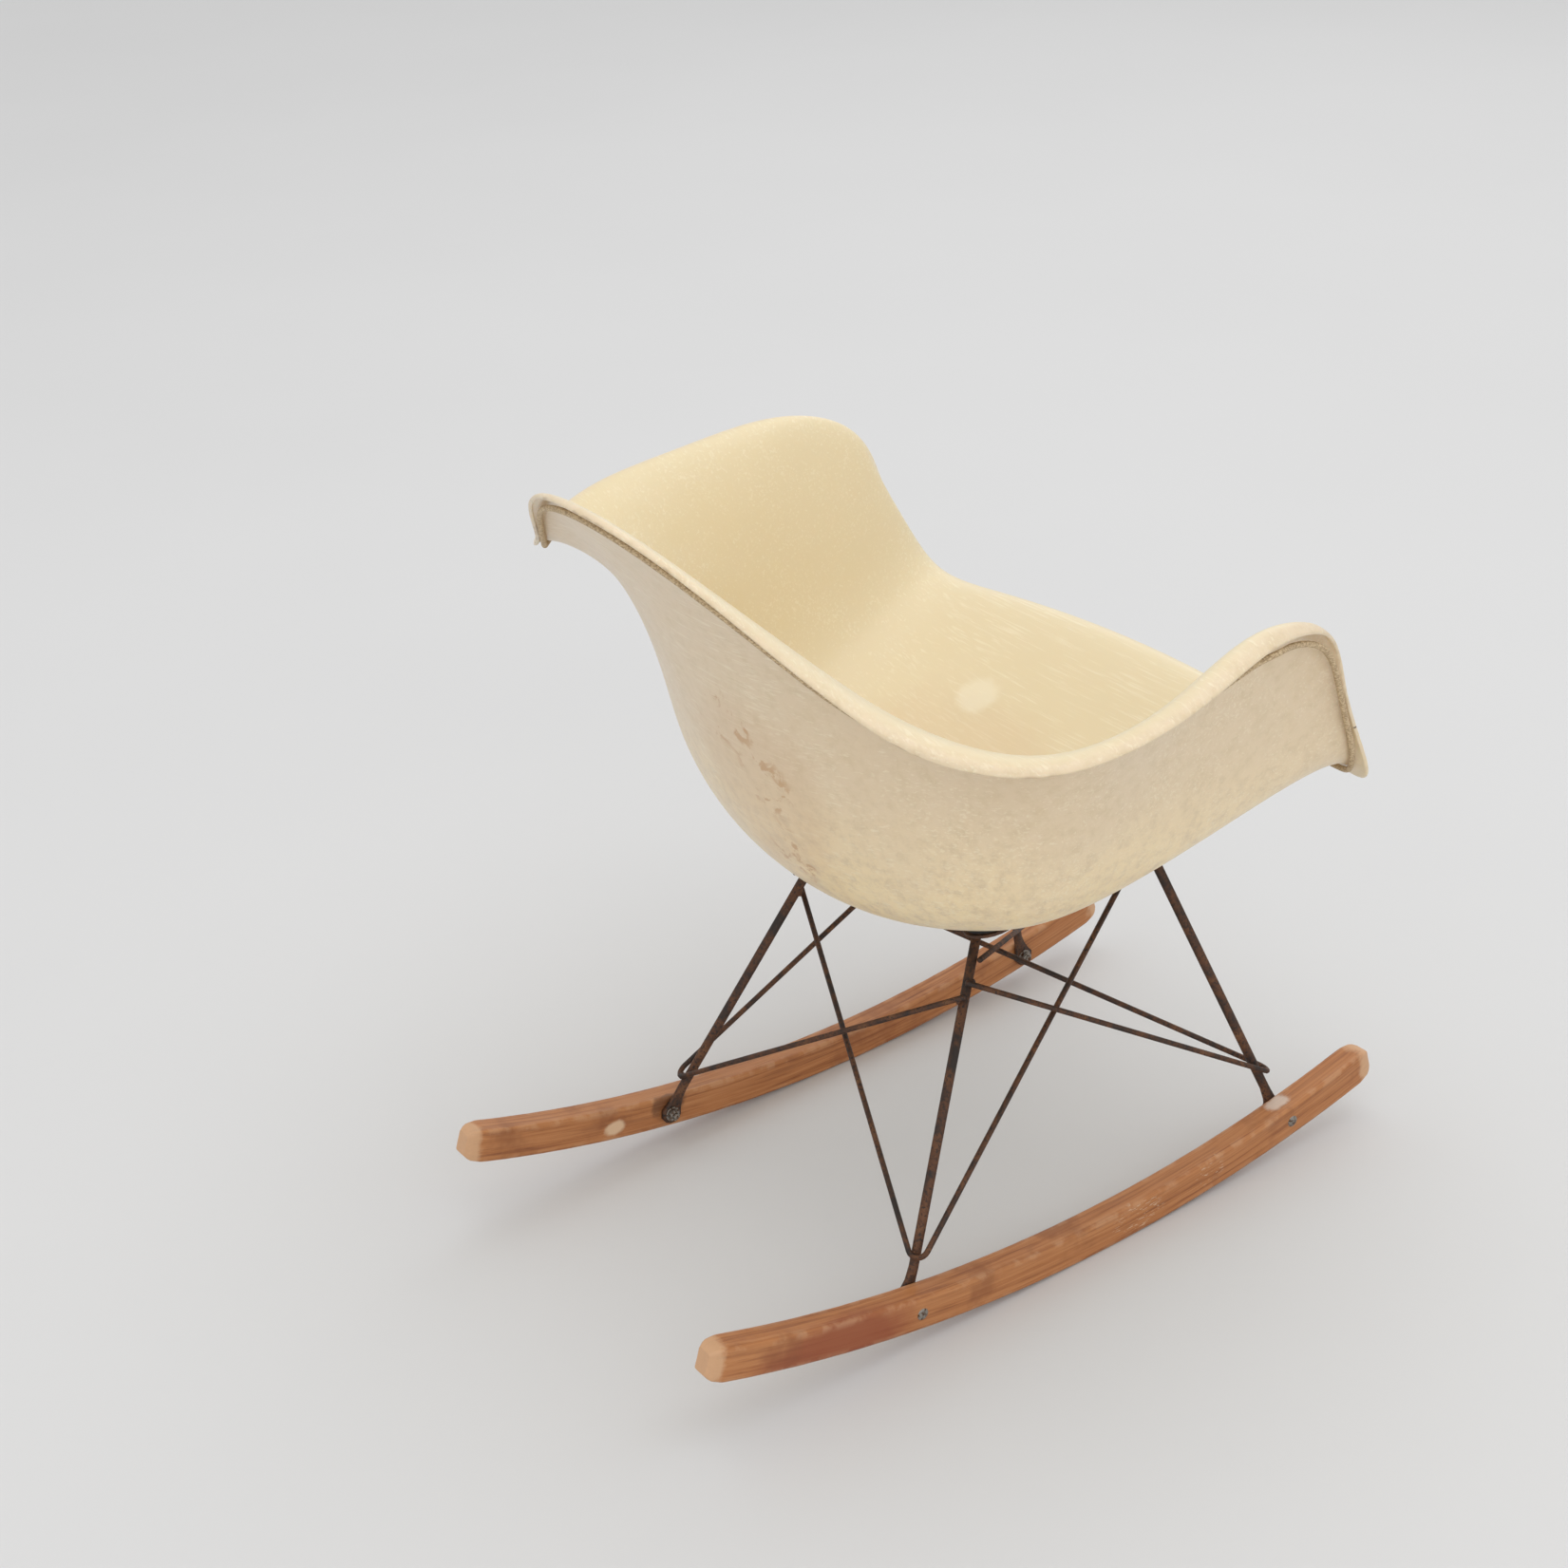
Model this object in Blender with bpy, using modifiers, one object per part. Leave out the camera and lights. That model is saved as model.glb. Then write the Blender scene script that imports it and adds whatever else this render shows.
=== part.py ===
"""Rocking armchair: a moulded glass-fibre shell on a braced wire base with two bent wood rockers.

Metres, +Z up. The chair faces -Y and the sitter's left is +X. The floor is z = 0. Places are given
as (across, forward, up), with forward measured from the line on which the rockers stand.
"""
import math

import bmesh
import bpy
from mathutils import Matrix, Vector
from mathutils.bvhtree import BVHTree

# ---------------------------------------------------------------- driving sizes
GAP = 0.0003  # between touching pieces

# Shell
SHELL_WIDTH = 0.640
SHELL_DEPTH = 0.585
SHELL_MIDDLE = -0.0455  # forward place of the middle of its depth
SHELL_TOP = 0.679
BOWL_FLOOR = 0.283
SHELL_THICKNESS = 0.0035
CORD_RADIUS = 0.0028  # cord laid under the lip
CORD_GAP = 0.0007  # more than GAP, because the cord runs straight between its points
CORD_EASING = 14  # rounds of smoothing

# Rockers
ROCKER_RADIUS = 1.196
ROCKER_DEPTH = 0.030
ROCKER_WIDTH = 0.022
ROCKER_INNER = 0.164  # centre plane to the inner face
ROCKER_REAR_ANGLE = 18.7
ROCKER_FRONT_ANGLE = 13.9
ROCKER_CHAMFER = 0.0022
TIP_LENGTH = 0.012
TIP_SCALE = 0.62
REAR_SEGMENTS = 11
FRONT_SEGMENTS = 8

# Legs
LEG_RADIUS = 0.0040
LEG_REAR = -0.195
LEG_FRONT = 0.200
EYE_RADIUS = 0.0095
EYE_THICKNESS = 0.0034
EYE_NECK = 0.026  # eye's centre to the start of the round rod

# Braces and spreaders
BRACE_RADIUS = 0.0023
BRACE_BEND = 0.008
BRACE_TAIL = 0.006
BRACE_LOW_REAR = 0.120  # places along a leg, as parts of its length from the eye
BRACE_LOW_FRONT = 0.125
BRACE_TO_REAR_LEG = 0.795
BRACE_TO_SAME_SIDE = 0.838
BRACE_TO_DIAGONAL = 0.905
DIAGONAL_STEP = 0.040  # the right wire crosses under the left one
BRACE_TO_FRONT_LEG = 0.855
SPREADER_RADIUS = 0.0030
SPREADER_PLACE = 0.955

# Mounts under the seat
MOUNT_PLACES = {"rear": (0.106, -0.062), "front": (0.095, 0.094)}  # across and forward
PAD_RADIUS = 0.019
PAD_HEIGHT = 0.0125
PAD_SEAT_GAP = 0.0007  # more than GAP, because the pad's flat facets meet a curved wall
PLATE_RADIUS = 0.0215
PLATE_THICKNESS = 0.0025
LEG_TOP_OFFSET = 0.0145  # mount's axis to the leg's top

# Fasteners
BOLT_RADIUS = 0.0025
BOLT_HEAD_RADIUS = 0.0052
BOLT_HEAD_HEIGHT = 0.0022
BOLT_TAIL = 0.0020
NUT_HEIGHT = 0.0038
NUT_RADIUS = 0.0050
WASHER_THICKNESS = 0.0010
WASHER_RADIUS = 0.0068
MOUNT_SCREW_RADIUS = 0.0030
MOUNT_SCREW_DEPTH = 0.0070  # its reach into the pad
MOUNT_HEAD_RADIUS = 0.0056
MOUNT_HEAD_HEIGHT = 0.0040
MOUNT_WASHER_RADIUS = 0.0078

SIDES = {"left": 1, "right": -1}
ENDS = {"rear": LEG_REAR, "front": LEG_FRONT}

# Forward place of the standing line that puts the rockers' middle over the origin
BALANCE = -0.5 * ROCKER_RADIUS * (
    math.sin(math.radians(ROCKER_FRONT_ANGLE)) - math.sin(math.radians(ROCKER_REAR_ANGLE))
)


def place(across, forward, up):
    """A point in the chair's frame."""
    return Vector((across, -(forward + BALANCE), up))


# ---------------------------------------------------------------- scene and materials
for old in list(bpy.data.objects):
    bpy.data.objects.remove(old, do_unlink=True)

chair = bpy.data.collections.new("rocking_armchair")
guides = bpy.data.collections.new("guides_and_cutters")
bpy.context.scene.collection.children.link(chair)
bpy.context.scene.collection.children.link(guides)


def make_material(name, colour, roughness, metallic):
    material = bpy.data.materials.new(name)
    material.use_nodes = True
    shader = material.node_tree.nodes["Principled BSDF"]
    shader.inputs["Base Color"].default_value = (*colour, 1.0)
    shader.inputs["Roughness"].default_value = roughness
    shader.inputs["Metallic"].default_value = metallic
    return material


FIBREGLASS = make_material("parchment_fibreglass", (0.78, 0.65, 0.38), 0.35, 0.0)
CORD = make_material("rim_cord", (0.42, 0.26, 0.12), 0.80, 0.0)
WOOD = make_material("stained_birch", (0.42, 0.14, 0.04), 0.50, 0.0)
WIRE = make_material("rusted_wire", (0.07, 0.04, 0.03), 0.65, 0.8)
STEEL = make_material("dull_steel", (0.33, 0.31, 0.28), 0.45, 1.0)
RUBBER = make_material("black_rubber", (0.02, 0.02, 0.02), 0.85, 0.0)


def add_object(name, data, material, collection=chair):
    item = bpy.data.objects.new(name, data)
    collection.objects.link(item)
    if material is not None:
        data.materials.append(material)
    return item


def add_bmesh(name, shape, material, collection=chair):
    bmesh.ops.recalc_face_normals(shape, faces=shape.faces)
    mesh = bpy.data.meshes.new(name)
    shape.to_mesh(mesh)
    shape.free()
    return add_object(name, mesh, material, collection)


def smooth(item, angle=40):
    item.data.shade_smooth()
    item.data.set_sharp_from_angle(angle=math.radians(angle))


def frame_along(start, direction, sideways=Vector((0, 0, 1))):
    """A matrix at start whose Z runs along direction."""
    z = direction.normalized()
    x = sideways.cross(z)
    if x.length < 1e-6:
        x = Vector((1, 0, 0)).cross(z)
    x.normalize()
    y = z.cross(x)
    return Matrix.Translation(start) @ Matrix((x, y, z)).transposed().to_4x4()


def rod(name, start, end, radius, material, sides=10):
    """A straight round bar."""
    shape = bmesh.new()
    bmesh.ops.create_cone(
        shape, cap_ends=True, segments=sides, radius1=radius, radius2=radius,
        depth=(end - start).length,
    )
    item = add_bmesh(name, shape, material)
    item.matrix_world = frame_along((start + end) / 2, end - start)
    smooth(item)
    return item


def turned(name, profile, start, direction, material, steps=14, closed=False):
    """A turned piece; the profile is (radius, height) and runs down its outer side."""
    mesh = bpy.data.meshes.new(name)
    edges = [(i, i + 1) for i in range(len(profile) - 1)]
    if closed:
        edges.append((len(profile) - 1, 0))
    mesh.from_pydata([(r, 0, h) for r, h in profile], edges, [])
    item = add_object(name, mesh, material)
    screw = item.modifiers.new("turn", "SCREW")
    screw.steps = steps
    screw.render_steps = steps
    screw.use_merge_vertices = True
    screw.merge_threshold = 0.00001
    screw.use_smooth_shade = True
    item.matrix_world = frame_along(start, direction)
    return item


def cut(item, cutter):
    """A Boolean difference that stays on the item."""
    cutter.hide_render = True
    cutter.display_type = "WIRE"
    step = item.modifiers.new("cut_" + cutter.name, "BOOLEAN")
    step.operation = "DIFFERENCE"
    step.solver = "EXACT"
    step.object = cutter


def bar_cutter(name, start, end, radius, sides=12):
    shape = bmesh.new()
    bmesh.ops.create_cone(
        shape, cap_ends=True, segments=sides, radius1=radius, radius2=radius,
        depth=(end - start).length,
    )
    item = add_bmesh(name, shape, None, guides)
    item.matrix_world = frame_along((start + end) / 2, end - start)
    return item


# ---------------------------------------------------------------- shell
# Each station runs from the middle of the chair out to the rim, through the foot of the side wall.
# Points are parts of half the width, of the depth from the rear, and of the rise from the bowl's floor.
STATIONS = (
    {"middle": (0.021, 1.015), "foot": (0.496, 0.113, 0.806), "rim": (0.763, 0.180, 0.665)},
    {"middle": (0.144, 0.799), "foot": (0.580, 0.269, 0.617), "rim": (0.942, 0.269, 0.650)},
    {"middle": (0.206, 0.499), "foot": (0.634, 0.349, 0.396), "rim": (0.993, 0.373, 0.687)},
    {"middle": (0.252, 0.204), "foot": (0.695, 0.371, 0.225), "rim": (0.943, 0.505, 0.715)},
    {"middle": (0.336, -0.001), "foot": (0.715, 0.440, 0.170), "rim": (0.862, 0.638, 0.766)},
    {"middle": (0.553, 0.042), "foot": (0.721, 0.594, 0.189), "rim": (0.866, 0.715, 0.738)},
    {"middle": (0.769, 0.166), "foot": (0.746, 0.755, 0.247), "rim": (0.844, 0.765, 0.682)},
    {"middle": (0.925, 0.340), "foot": (0.803, 0.885, 0.311), "rim": (0.838, 0.785, 0.596)},
)
FLOOR_PLACES = (0.0, 0.37, 0.72, 1.0)  # from the middle to the foot
FLOOR_CURVE = 2.2  # how late the floor turns up
WALL_OUT = 0.42
WALL_UP = 0.50
# How far the lip rolls outward and down, at places along the rim between which it changes evenly
LIP = {
    "middle of the back": (0.007, 0.011),
    "rear corner": (-0.002, 0.007),
    "middle of the arm": (0.029, 0.019),
    "front of the arm": (0.019, 0.034),
    "middle of the front": (0.015, 0.026),
}


def shell_point(across, along, up):
    forward = SHELL_MIDDLE + (along - 0.5) * SHELL_DEPTH
    return place(across * SHELL_WIDTH / 2, forward, BOWL_FLOOR + up * (SHELL_TOP - BOWL_FLOOR))


def station_points(station):
    middle = Vector((0.0, *station["middle"]))
    foot = Vector(station["foot"])
    rim = Vector(station["rim"])
    points = []
    for t in FLOOR_PLACES:
        rise = t ** FLOOR_CURVE
        points.append(Vector((foot.x * t, *(middle.yz + (foot.yz - middle.yz) * rise))))
    wall = foot.lerp(rim, WALL_UP)
    wall.x = foot.x + (rim.x - foot.x) * WALL_OUT
    return [shell_point(*p) for p in (*points, wall, rim)]


def lip_sizes(rim_count, rear_corner, arm_front):
    """Outward and downward reach of the lip at each corner of the cage's rim."""
    places = (0, rear_corner, (rear_corner + arm_front + 1) // 2, arm_front, rim_count - 1)
    sizes = []
    for (low, high), (a, b) in zip(zip(places, places[1:]), zip(LIP.values(), list(LIP.values())[1:])):
        for i in range(low, high):
            share = (i - low) / (high - low)
            sizes.append((a[0] + (b[0] - a[0]) * share, a[1] + (b[1] - a[1]) * share))
    sizes.append(list(LIP.values())[-1])
    return sizes


def lip_point(before, here, after, inside, size):
    """The lip rolls outward and down from the rim."""
    tangent = (after - before).normalized()
    outward = here - inside
    outward -= tangent * outward.dot(tangent)
    outward.z = 0
    outward.normalize()
    return here + outward * size[0] - Vector((0, 0, size[1]))


def mirrored(point):
    return Vector((-point.x, point.y, point.z))


def shell_cage():
    """Half of the cage: the stations' grid and the ring of the lip around it."""
    grid = [station_points(s) for s in STATIONS]
    last_row = len(grid) - 1
    last_column = len(grid[0]) - 1
    rim = [(0, c) for c in range(last_column)]
    rim += [(r, last_column) for r in range(last_row)]
    rim += [(last_row, c) for c in range(last_column, -1, -1)]
    shape = bmesh.new()
    corners = [[shape.verts.new(p) for p in row] for row in grid]
    path = [grid[r][c] for r, c in rim]
    path.insert(0, mirrored(path[1]))
    path.append(mirrored(path[-2]))
    sizes = lip_sizes(len(rim), last_column, last_column + last_row)
    lip = []
    for i, (r, c) in enumerate(rim):
        inside = grid[min(max(r, 1), last_row - 1)][min(c, last_column - 1)]
        lip.append(shape.verts.new(lip_point(path[i], path[i + 1], path[i + 2], inside, sizes[i])))
    lip[0].co.x = 0.0
    lip[-1].co.x = 0.0
    for r in range(last_row):
        for c in range(last_column):
            shape.faces.new(
                (corners[r][c], corners[r + 1][c], corners[r + 1][c + 1], corners[r][c + 1])
            )
    for i in range(len(rim) - 1):
        r0, c0 = rim[i]
        r1, c1 = rim[i + 1]
        shape.faces.new((corners[r0][c0], corners[r1][c1], lip[i + 1], lip[i]))
    return shape


def add_shell_modifiers(item, thick):
    mirror = item.modifiers.new("other_half", "MIRROR")
    mirror.merge_threshold = 0.0001
    mirror.use_clip = True
    soften = item.modifiers.new("soften", "SUBSURF")
    soften.levels = 2
    soften.render_levels = 2
    soften.boundary_smooth = "ALL"
    if thick:
        wall = item.modifiers.new("wall", "SOLIDIFY")
        wall.thickness = SHELL_THICKNESS
        wall.offset = -1
        wall.use_even_offset = True


def build_shell():
    shape = shell_cage()
    bmesh.ops.recalc_face_normals(shape, faces=shape.faces)
    lowest = min(shape.faces, key=lambda f: f.calc_center_median().z)
    if lowest.normal.z < 0:
        bmesh.ops.reverse_faces(shape, faces=shape.faces)
    mesh = bpy.data.meshes.new("seat_shell")
    shape.to_mesh(mesh)
    shape.free()
    mesh.shade_smooth()
    sheet = add_object("shell_sheet", mesh.copy(), None, guides)
    sheet.hide_render = True
    sheet.display_type = "WIRE"
    add_shell_modifiers(sheet, thick=False)
    shell = add_object("seat_shell", mesh, FIBREGLASS)
    add_shell_modifiers(shell, thick=True)
    return shell, sheet


def evaluated(item):
    bpy.context.view_layer.update()
    return item.evaluated_get(bpy.context.evaluated_depsgraph_get())


def surface_of(item):
    ready = evaluated(item)
    mesh = ready.to_mesh()
    points = [item.matrix_world @ v.co for v in mesh.vertices]
    tree = BVHTree.FromPolygons(points, [tuple(p.vertices) for p in mesh.polygons])
    ready.to_mesh_clear()
    return tree


def rim_loop(sheet):
    """The sheet's open edge in order, as (point, normal, inward direction)."""
    ready = evaluated(sheet)
    shape = bmesh.new()
    shape.from_mesh(ready.to_mesh())
    ready.to_mesh_clear()
    shape.normal_update()
    edge = next(e for e in shape.edges if e.is_boundary)
    start = edge.verts[0]
    here = edge.verts[1]
    order = [start, here]
    while True:
        onward = [e for e in here.link_edges if e.is_boundary and e != edge][0]
        edge = onward
        here = edge.other_vert(here)
        if here == start:
            break
        order.append(here)
    loop = []
    for i, v in enumerate(order):
        tangent = (order[(i + 1) % len(order)].co - order[i - 1].co).normalized()
        inner = sum((f.calc_center_median() for f in v.link_faces), Vector()) / len(v.link_faces)
        inward = v.normal.cross(tangent).normalized()
        if inward.dot(inner - v.co) < 0:
            inward = -inward
        loop.append((v.co.copy(), v.normal.copy(), inward))
    shape.free()
    return loop


def poly_tube(name, points, radius, material, cyclic=False, resolution=2):
    curve = bpy.data.curves.new(name, "CURVE")
    curve.dimensions = "3D"
    curve.bevel_depth = radius
    curve.bevel_resolution = resolution
    curve.use_fill_caps = True
    spline = curve.splines.new("POLY")
    spline.points.add(len(points) - 1)
    for target, p in zip(spline.points, points):
        target.co = (*p, 1.0)
    spline.use_cyclic_u = cyclic
    return add_object(name, curve, material)


def clear_of(surface, point, reach):
    """The point, moved out of the surface if it is nearer than reach."""
    near, normal, _, distance = surface.find_nearest(point)
    away = point - near
    outside = away.dot(normal) > 0
    if outside and distance >= reach:
        return point
    return near + (away.normalized() if outside else normal) * reach


def build_rim_cord(sheet, surface):
    """The cord follows the lip's inner side, eased round the corners and kept clear of the shell."""
    below = SHELL_THICKNESS + CORD_RADIUS + CORD_GAP
    points = [p - n * below + inward * CORD_RADIUS for p, n, inward in rim_loop(sheet)]
    for _ in range(CORD_EASING):
        eased = [(points[i - 1] + p * 2 + points[(i + 1) % len(points)]) / 4 for i, p in enumerate(points)]
        points = [clear_of(surface, p, CORD_RADIUS + CORD_GAP) for p in eased]
    return poly_tube("rim_cord", points, CORD_RADIUS, CORD, cyclic=True, resolution=1)


# ---------------------------------------------------------------- rockers
def rocker_angles():
    """Section angles in degrees; the span between the middle two stands flat on the floor."""
    half = ROCKER_REAR_ANGLE / (2 * REAR_SEGMENTS + 1)
    rear = [-half - (ROCKER_REAR_ANGLE - half) * i / REAR_SEGMENTS for i in range(REAR_SEGMENTS, -1, -1)]
    front = [half + (ROCKER_FRONT_ANGLE - half) * i / FRONT_SEGMENTS for i in range(FRONT_SEGMENTS + 1)]
    return rear + front


def rocker_section(inner, width, depth, chamfer):
    """Corners of the cross-section as (across, height over the lower face)."""
    outer = inner + width
    return [
        (inner + chamfer, 0), (outer - chamfer, 0), (outer, chamfer), (outer, depth - chamfer),
        (outer - chamfer, depth), (inner + chamfer, depth), (inner, depth - chamfer), (inner, chamfer),
    ]


def rocker_point(across, height, angle, along=0.0):
    """A point of a rocker's section, moved along the tangent for the tips."""
    half = math.radians(ROCKER_REAR_ANGLE / (2 * REAR_SEGMENTS + 1))
    radius = ROCKER_RADIUS / math.cos(half) - height
    a = math.radians(angle)
    forward = radius * math.sin(a) + along * math.cos(a)
    up = ROCKER_RADIUS - radius * math.cos(a) + along * math.sin(a)
    return place(across, forward, up)


def build_rocker(side, sign):
    angles = rocker_angles()
    full = rocker_section(ROCKER_INNER, ROCKER_WIDTH, ROCKER_DEPTH, ROCKER_CHAMFER)
    middle = ROCKER_INNER + ROCKER_WIDTH / 2
    tip = [
        (middle + (a - middle) * TIP_SCALE, ROCKER_DEPTH / 2 + (h - ROCKER_DEPTH / 2) * TIP_SCALE)
        for a, h in full
    ]
    rings = [[rocker_point(sign * a, h, angles[0], -TIP_LENGTH) for a, h in tip]]
    rings += [[rocker_point(sign * a, h, angle) for a, h in full] for angle in angles]
    rings.append([rocker_point(sign * a, h, angles[-1], TIP_LENGTH) for a, h in tip])
    item = add_bmesh("rocker_" + side, loft(rings), WOOD)
    smooth(item)
    return item


def loft(rings):
    """Closed rings of equal length, joined and capped."""
    shape = bmesh.new()
    loops = [[shape.verts.new(p) for p in ring] for ring in rings]
    count = len(rings[0])
    for low, high in zip(loops, loops[1:]):
        for i in range(count):
            j = (i + 1) % count
            shape.faces.new((low[i], low[j], high[j], high[i]))
    shape.faces.new(loops[0])
    shape.faces.new(loops[-1])
    return shape


def eye_place(side, end):
    """Centre of a leg's eye, on the rocker's inner face."""
    forward = ENDS[end]
    middle = ROCKER_RADIUS - ROCKER_DEPTH / 2
    up = ROCKER_RADIUS - math.sqrt(middle ** 2 - forward ** 2)
    across = ROCKER_INNER - GAP - EYE_THICKNESS / 2
    return place(SIDES[side] * across, forward, up)


# ---------------------------------------------------------------- mounts
class Mount:
    """One place under the seat: its axis, its pad, plate and screw, and the top of its leg."""

    def __init__(self, side, end, surface):
        self.name = end + "_" + side
        sign = SIDES[side]
        across, forward = MOUNT_PLACES[end]
        below = place(sign * across, forward, 0.0)
        self.top, normal, _, _ = surface.ray_cast(below, Vector((0, 0, 1)))
        self.axis = -normal.normalized()
        if self.axis.z < 0:
            self.axis = -self.axis
        self.surface = surface
        self.pad_low = self.top - self.axis * (PAD_HEIGHT + GAP)
        self.plate_top = self.pad_low - self.axis * GAP
        self.plate_low = self.plate_top - self.axis * PLATE_THICKNESS
        inboard = Vector((-sign, 0, 0))
        inboard -= self.axis * inboard.dot(self.axis)
        self.leg_top = self.plate_low + inboard.normalized() * LEG_TOP_OFFSET

    def conformed(self, point):
        """The point moved along the axis until it lies just under the shell."""
        start = point - self.axis * PAD_HEIGHT
        hit, _, _, _ = self.surface.ray_cast(start, self.axis)
        return hit - self.axis * PAD_SEAT_GAP

    def build_pad(self):
        frame = frame_along(self.pad_low, self.axis)
        steps = 20
        bore = MOUNT_SCREW_RADIUS + GAP
        depth = MOUNT_SCREW_DEPTH + 4 * GAP

        def ring(radius, height, against_shell=False):
            points = []
            for i in range(steps):
                a = 2 * math.pi * i / steps
                p = frame @ Vector((radius * math.cos(a), radius * math.sin(a), height))
                points.append(self.conformed(p) if against_shell else p)
            return points

        rings = [ring(bore, depth), ring(bore, 0.0), ring(PAD_RADIUS, 0.0)]
        rings += [ring(PAD_RADIUS, 0.0, True), ring(PAD_RADIUS / 2, 0.0, True)]
        shape = loft(rings)
        item = add_bmesh("shock_mount_" + self.name, shape, RUBBER)
        smooth(item)

    def build_plate(self):
        bore = MOUNT_SCREW_RADIUS + GAP
        profile = [
            (PLATE_RADIUS, PLATE_THICKNESS), (PLATE_RADIUS, 0.0), (bore, 0.0), (bore, PLATE_THICKNESS),
        ]
        turned("mount_plate_" + self.name, profile, self.plate_low, self.axis, WIRE, 22, closed=True)

    def build_fastener(self):
        washer_low = self.plate_low - self.axis * (GAP + WASHER_THICKNESS)
        bore = MOUNT_SCREW_RADIUS + GAP
        ring = [
            (MOUNT_WASHER_RADIUS, WASHER_THICKNESS), (MOUNT_WASHER_RADIUS, 0.0),
            (bore, 0.0), (bore, WASHER_THICKNESS),
        ]
        turned("mount_washer_" + self.name, ring, washer_low, self.axis, STEEL, 14, closed=True)
        head_low = washer_low - self.axis * (GAP + MOUNT_HEAD_HEIGHT)
        shank = (
            MOUNT_HEAD_HEIGHT + WASHER_THICKNESS + PLATE_THICKNESS + 3 * GAP + MOUNT_SCREW_DEPTH
        )
        screw = [
            (0.0, shank), (MOUNT_SCREW_RADIUS, shank), (MOUNT_SCREW_RADIUS, MOUNT_HEAD_HEIGHT),
            (MOUNT_HEAD_RADIUS, MOUNT_HEAD_HEIGHT), (MOUNT_HEAD_RADIUS, MOUNT_HEAD_HEIGHT * 0.4),
            (MOUNT_HEAD_RADIUS * 0.6, 0.0), (0.0, 0.0),
        ]
        turned("mount_screw_" + self.name, screw, head_low, self.axis, STEEL, 10)


# ---------------------------------------------------------------- legs
class Leg:
    """A rod from the eye on a rocker up to a mount's plate."""

    def __init__(self, side, end, mount):
        self.name = end + "_" + side
        self.sign = SIDES[side]
        self.eye = eye_place(side, end)
        self.top = mount.leg_top
        self.mount = mount
        lie = self.top - self.eye
        lie.x = 0
        self.flat = lie.normalized()
        crank = LEG_RADIUS - EYE_THICKNESS / 2
        self.neck = self.eye + self.flat * EYE_NECK - Vector((self.sign * crank, 0, 0))
        self.run = (self.top - self.neck).normalized()

    def at(self, part):
        """A point of the axis, as a part of its length from the eye's height up."""
        height = self.eye.z + (self.top.z - self.eye.z) * part
        return self.neck + self.run * ((height - self.neck.z) / self.run.z)

    def build(self):
        steps = 12
        flat_sections = [(-0.97, 0.0), (-0.7, 0.0), (0.0, 0.0), (0.7, 0.0)]
        half = EYE_THICKNESS / 2

        def ring(centre, tangent, wide, thick):
            face = Vector((1, 0, 0))
            face = (face - tangent * face.dot(tangent)).normalized()
            edge = tangent.cross(face)
            points = []
            for i in range(steps):
                a = 2 * math.pi * i / steps
                points.append(centre + edge * (wide * math.cos(a)) + face * (thick * math.sin(a)))
            return points

        def slab(centre, wide):
            """A flat section with square sides, on the same count of corners."""
            edge = self.flat.cross(Vector((1, 0, 0)))
            places = [(1, 0), (1, 1), (0.5, 1), (0, 1), (-0.5, 1), (-1, 1),
                      (-1, 0), (-1, -1), (-0.5, -1), (0, -1), (0.5, -1), (1, -1)]
            return [centre + edge * (wide * x) + Vector((half * y, 0, 0)) for x, y in places]

        rings = []
        for along, _ in flat_sections:
            wide = EYE_RADIUS * math.sqrt(1 - along ** 2)
            rings.append(slab(self.eye + self.flat * (EYE_RADIUS * along), wide))
        for share in (0.35, 0.7):
            centre = (self.eye + self.flat * EYE_RADIUS).lerp(self.neck, share)
            wide = EYE_RADIUS * 0.68 + (LEG_RADIUS - EYE_RADIUS * 0.68) * share
            rings.append(ring(centre, self.flat, wide, half + (LEG_RADIUS - half) * share))
        rings.append(ring(self.neck, (self.flat + self.run).normalized(), LEG_RADIUS, LEG_RADIUS))
        bottom = ring(self.top - self.run * LEG_RADIUS * 4, self.run, LEG_RADIUS, LEG_RADIUS)
        rings.append([self.against_plate(p) for p in bottom])
        item = add_bmesh("leg_" + self.name, loft(rings), WIRE)
        smooth(item)
        reach = Vector((EYE_THICKNESS * 2, 0, 0))
        hole = bar_cutter(
            "eye_hole_" + self.name, self.eye - reach, self.eye + reach, BOLT_RADIUS + GAP
        )
        cut(item, hole)

    def against_plate(self, point):
        """The point moved along the rod to just under the plate."""
        axis = self.mount.axis
        level = (self.mount.plate_low - axis * GAP - point).dot(axis)
        return point + self.run * (level / self.run.dot(axis))


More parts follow.
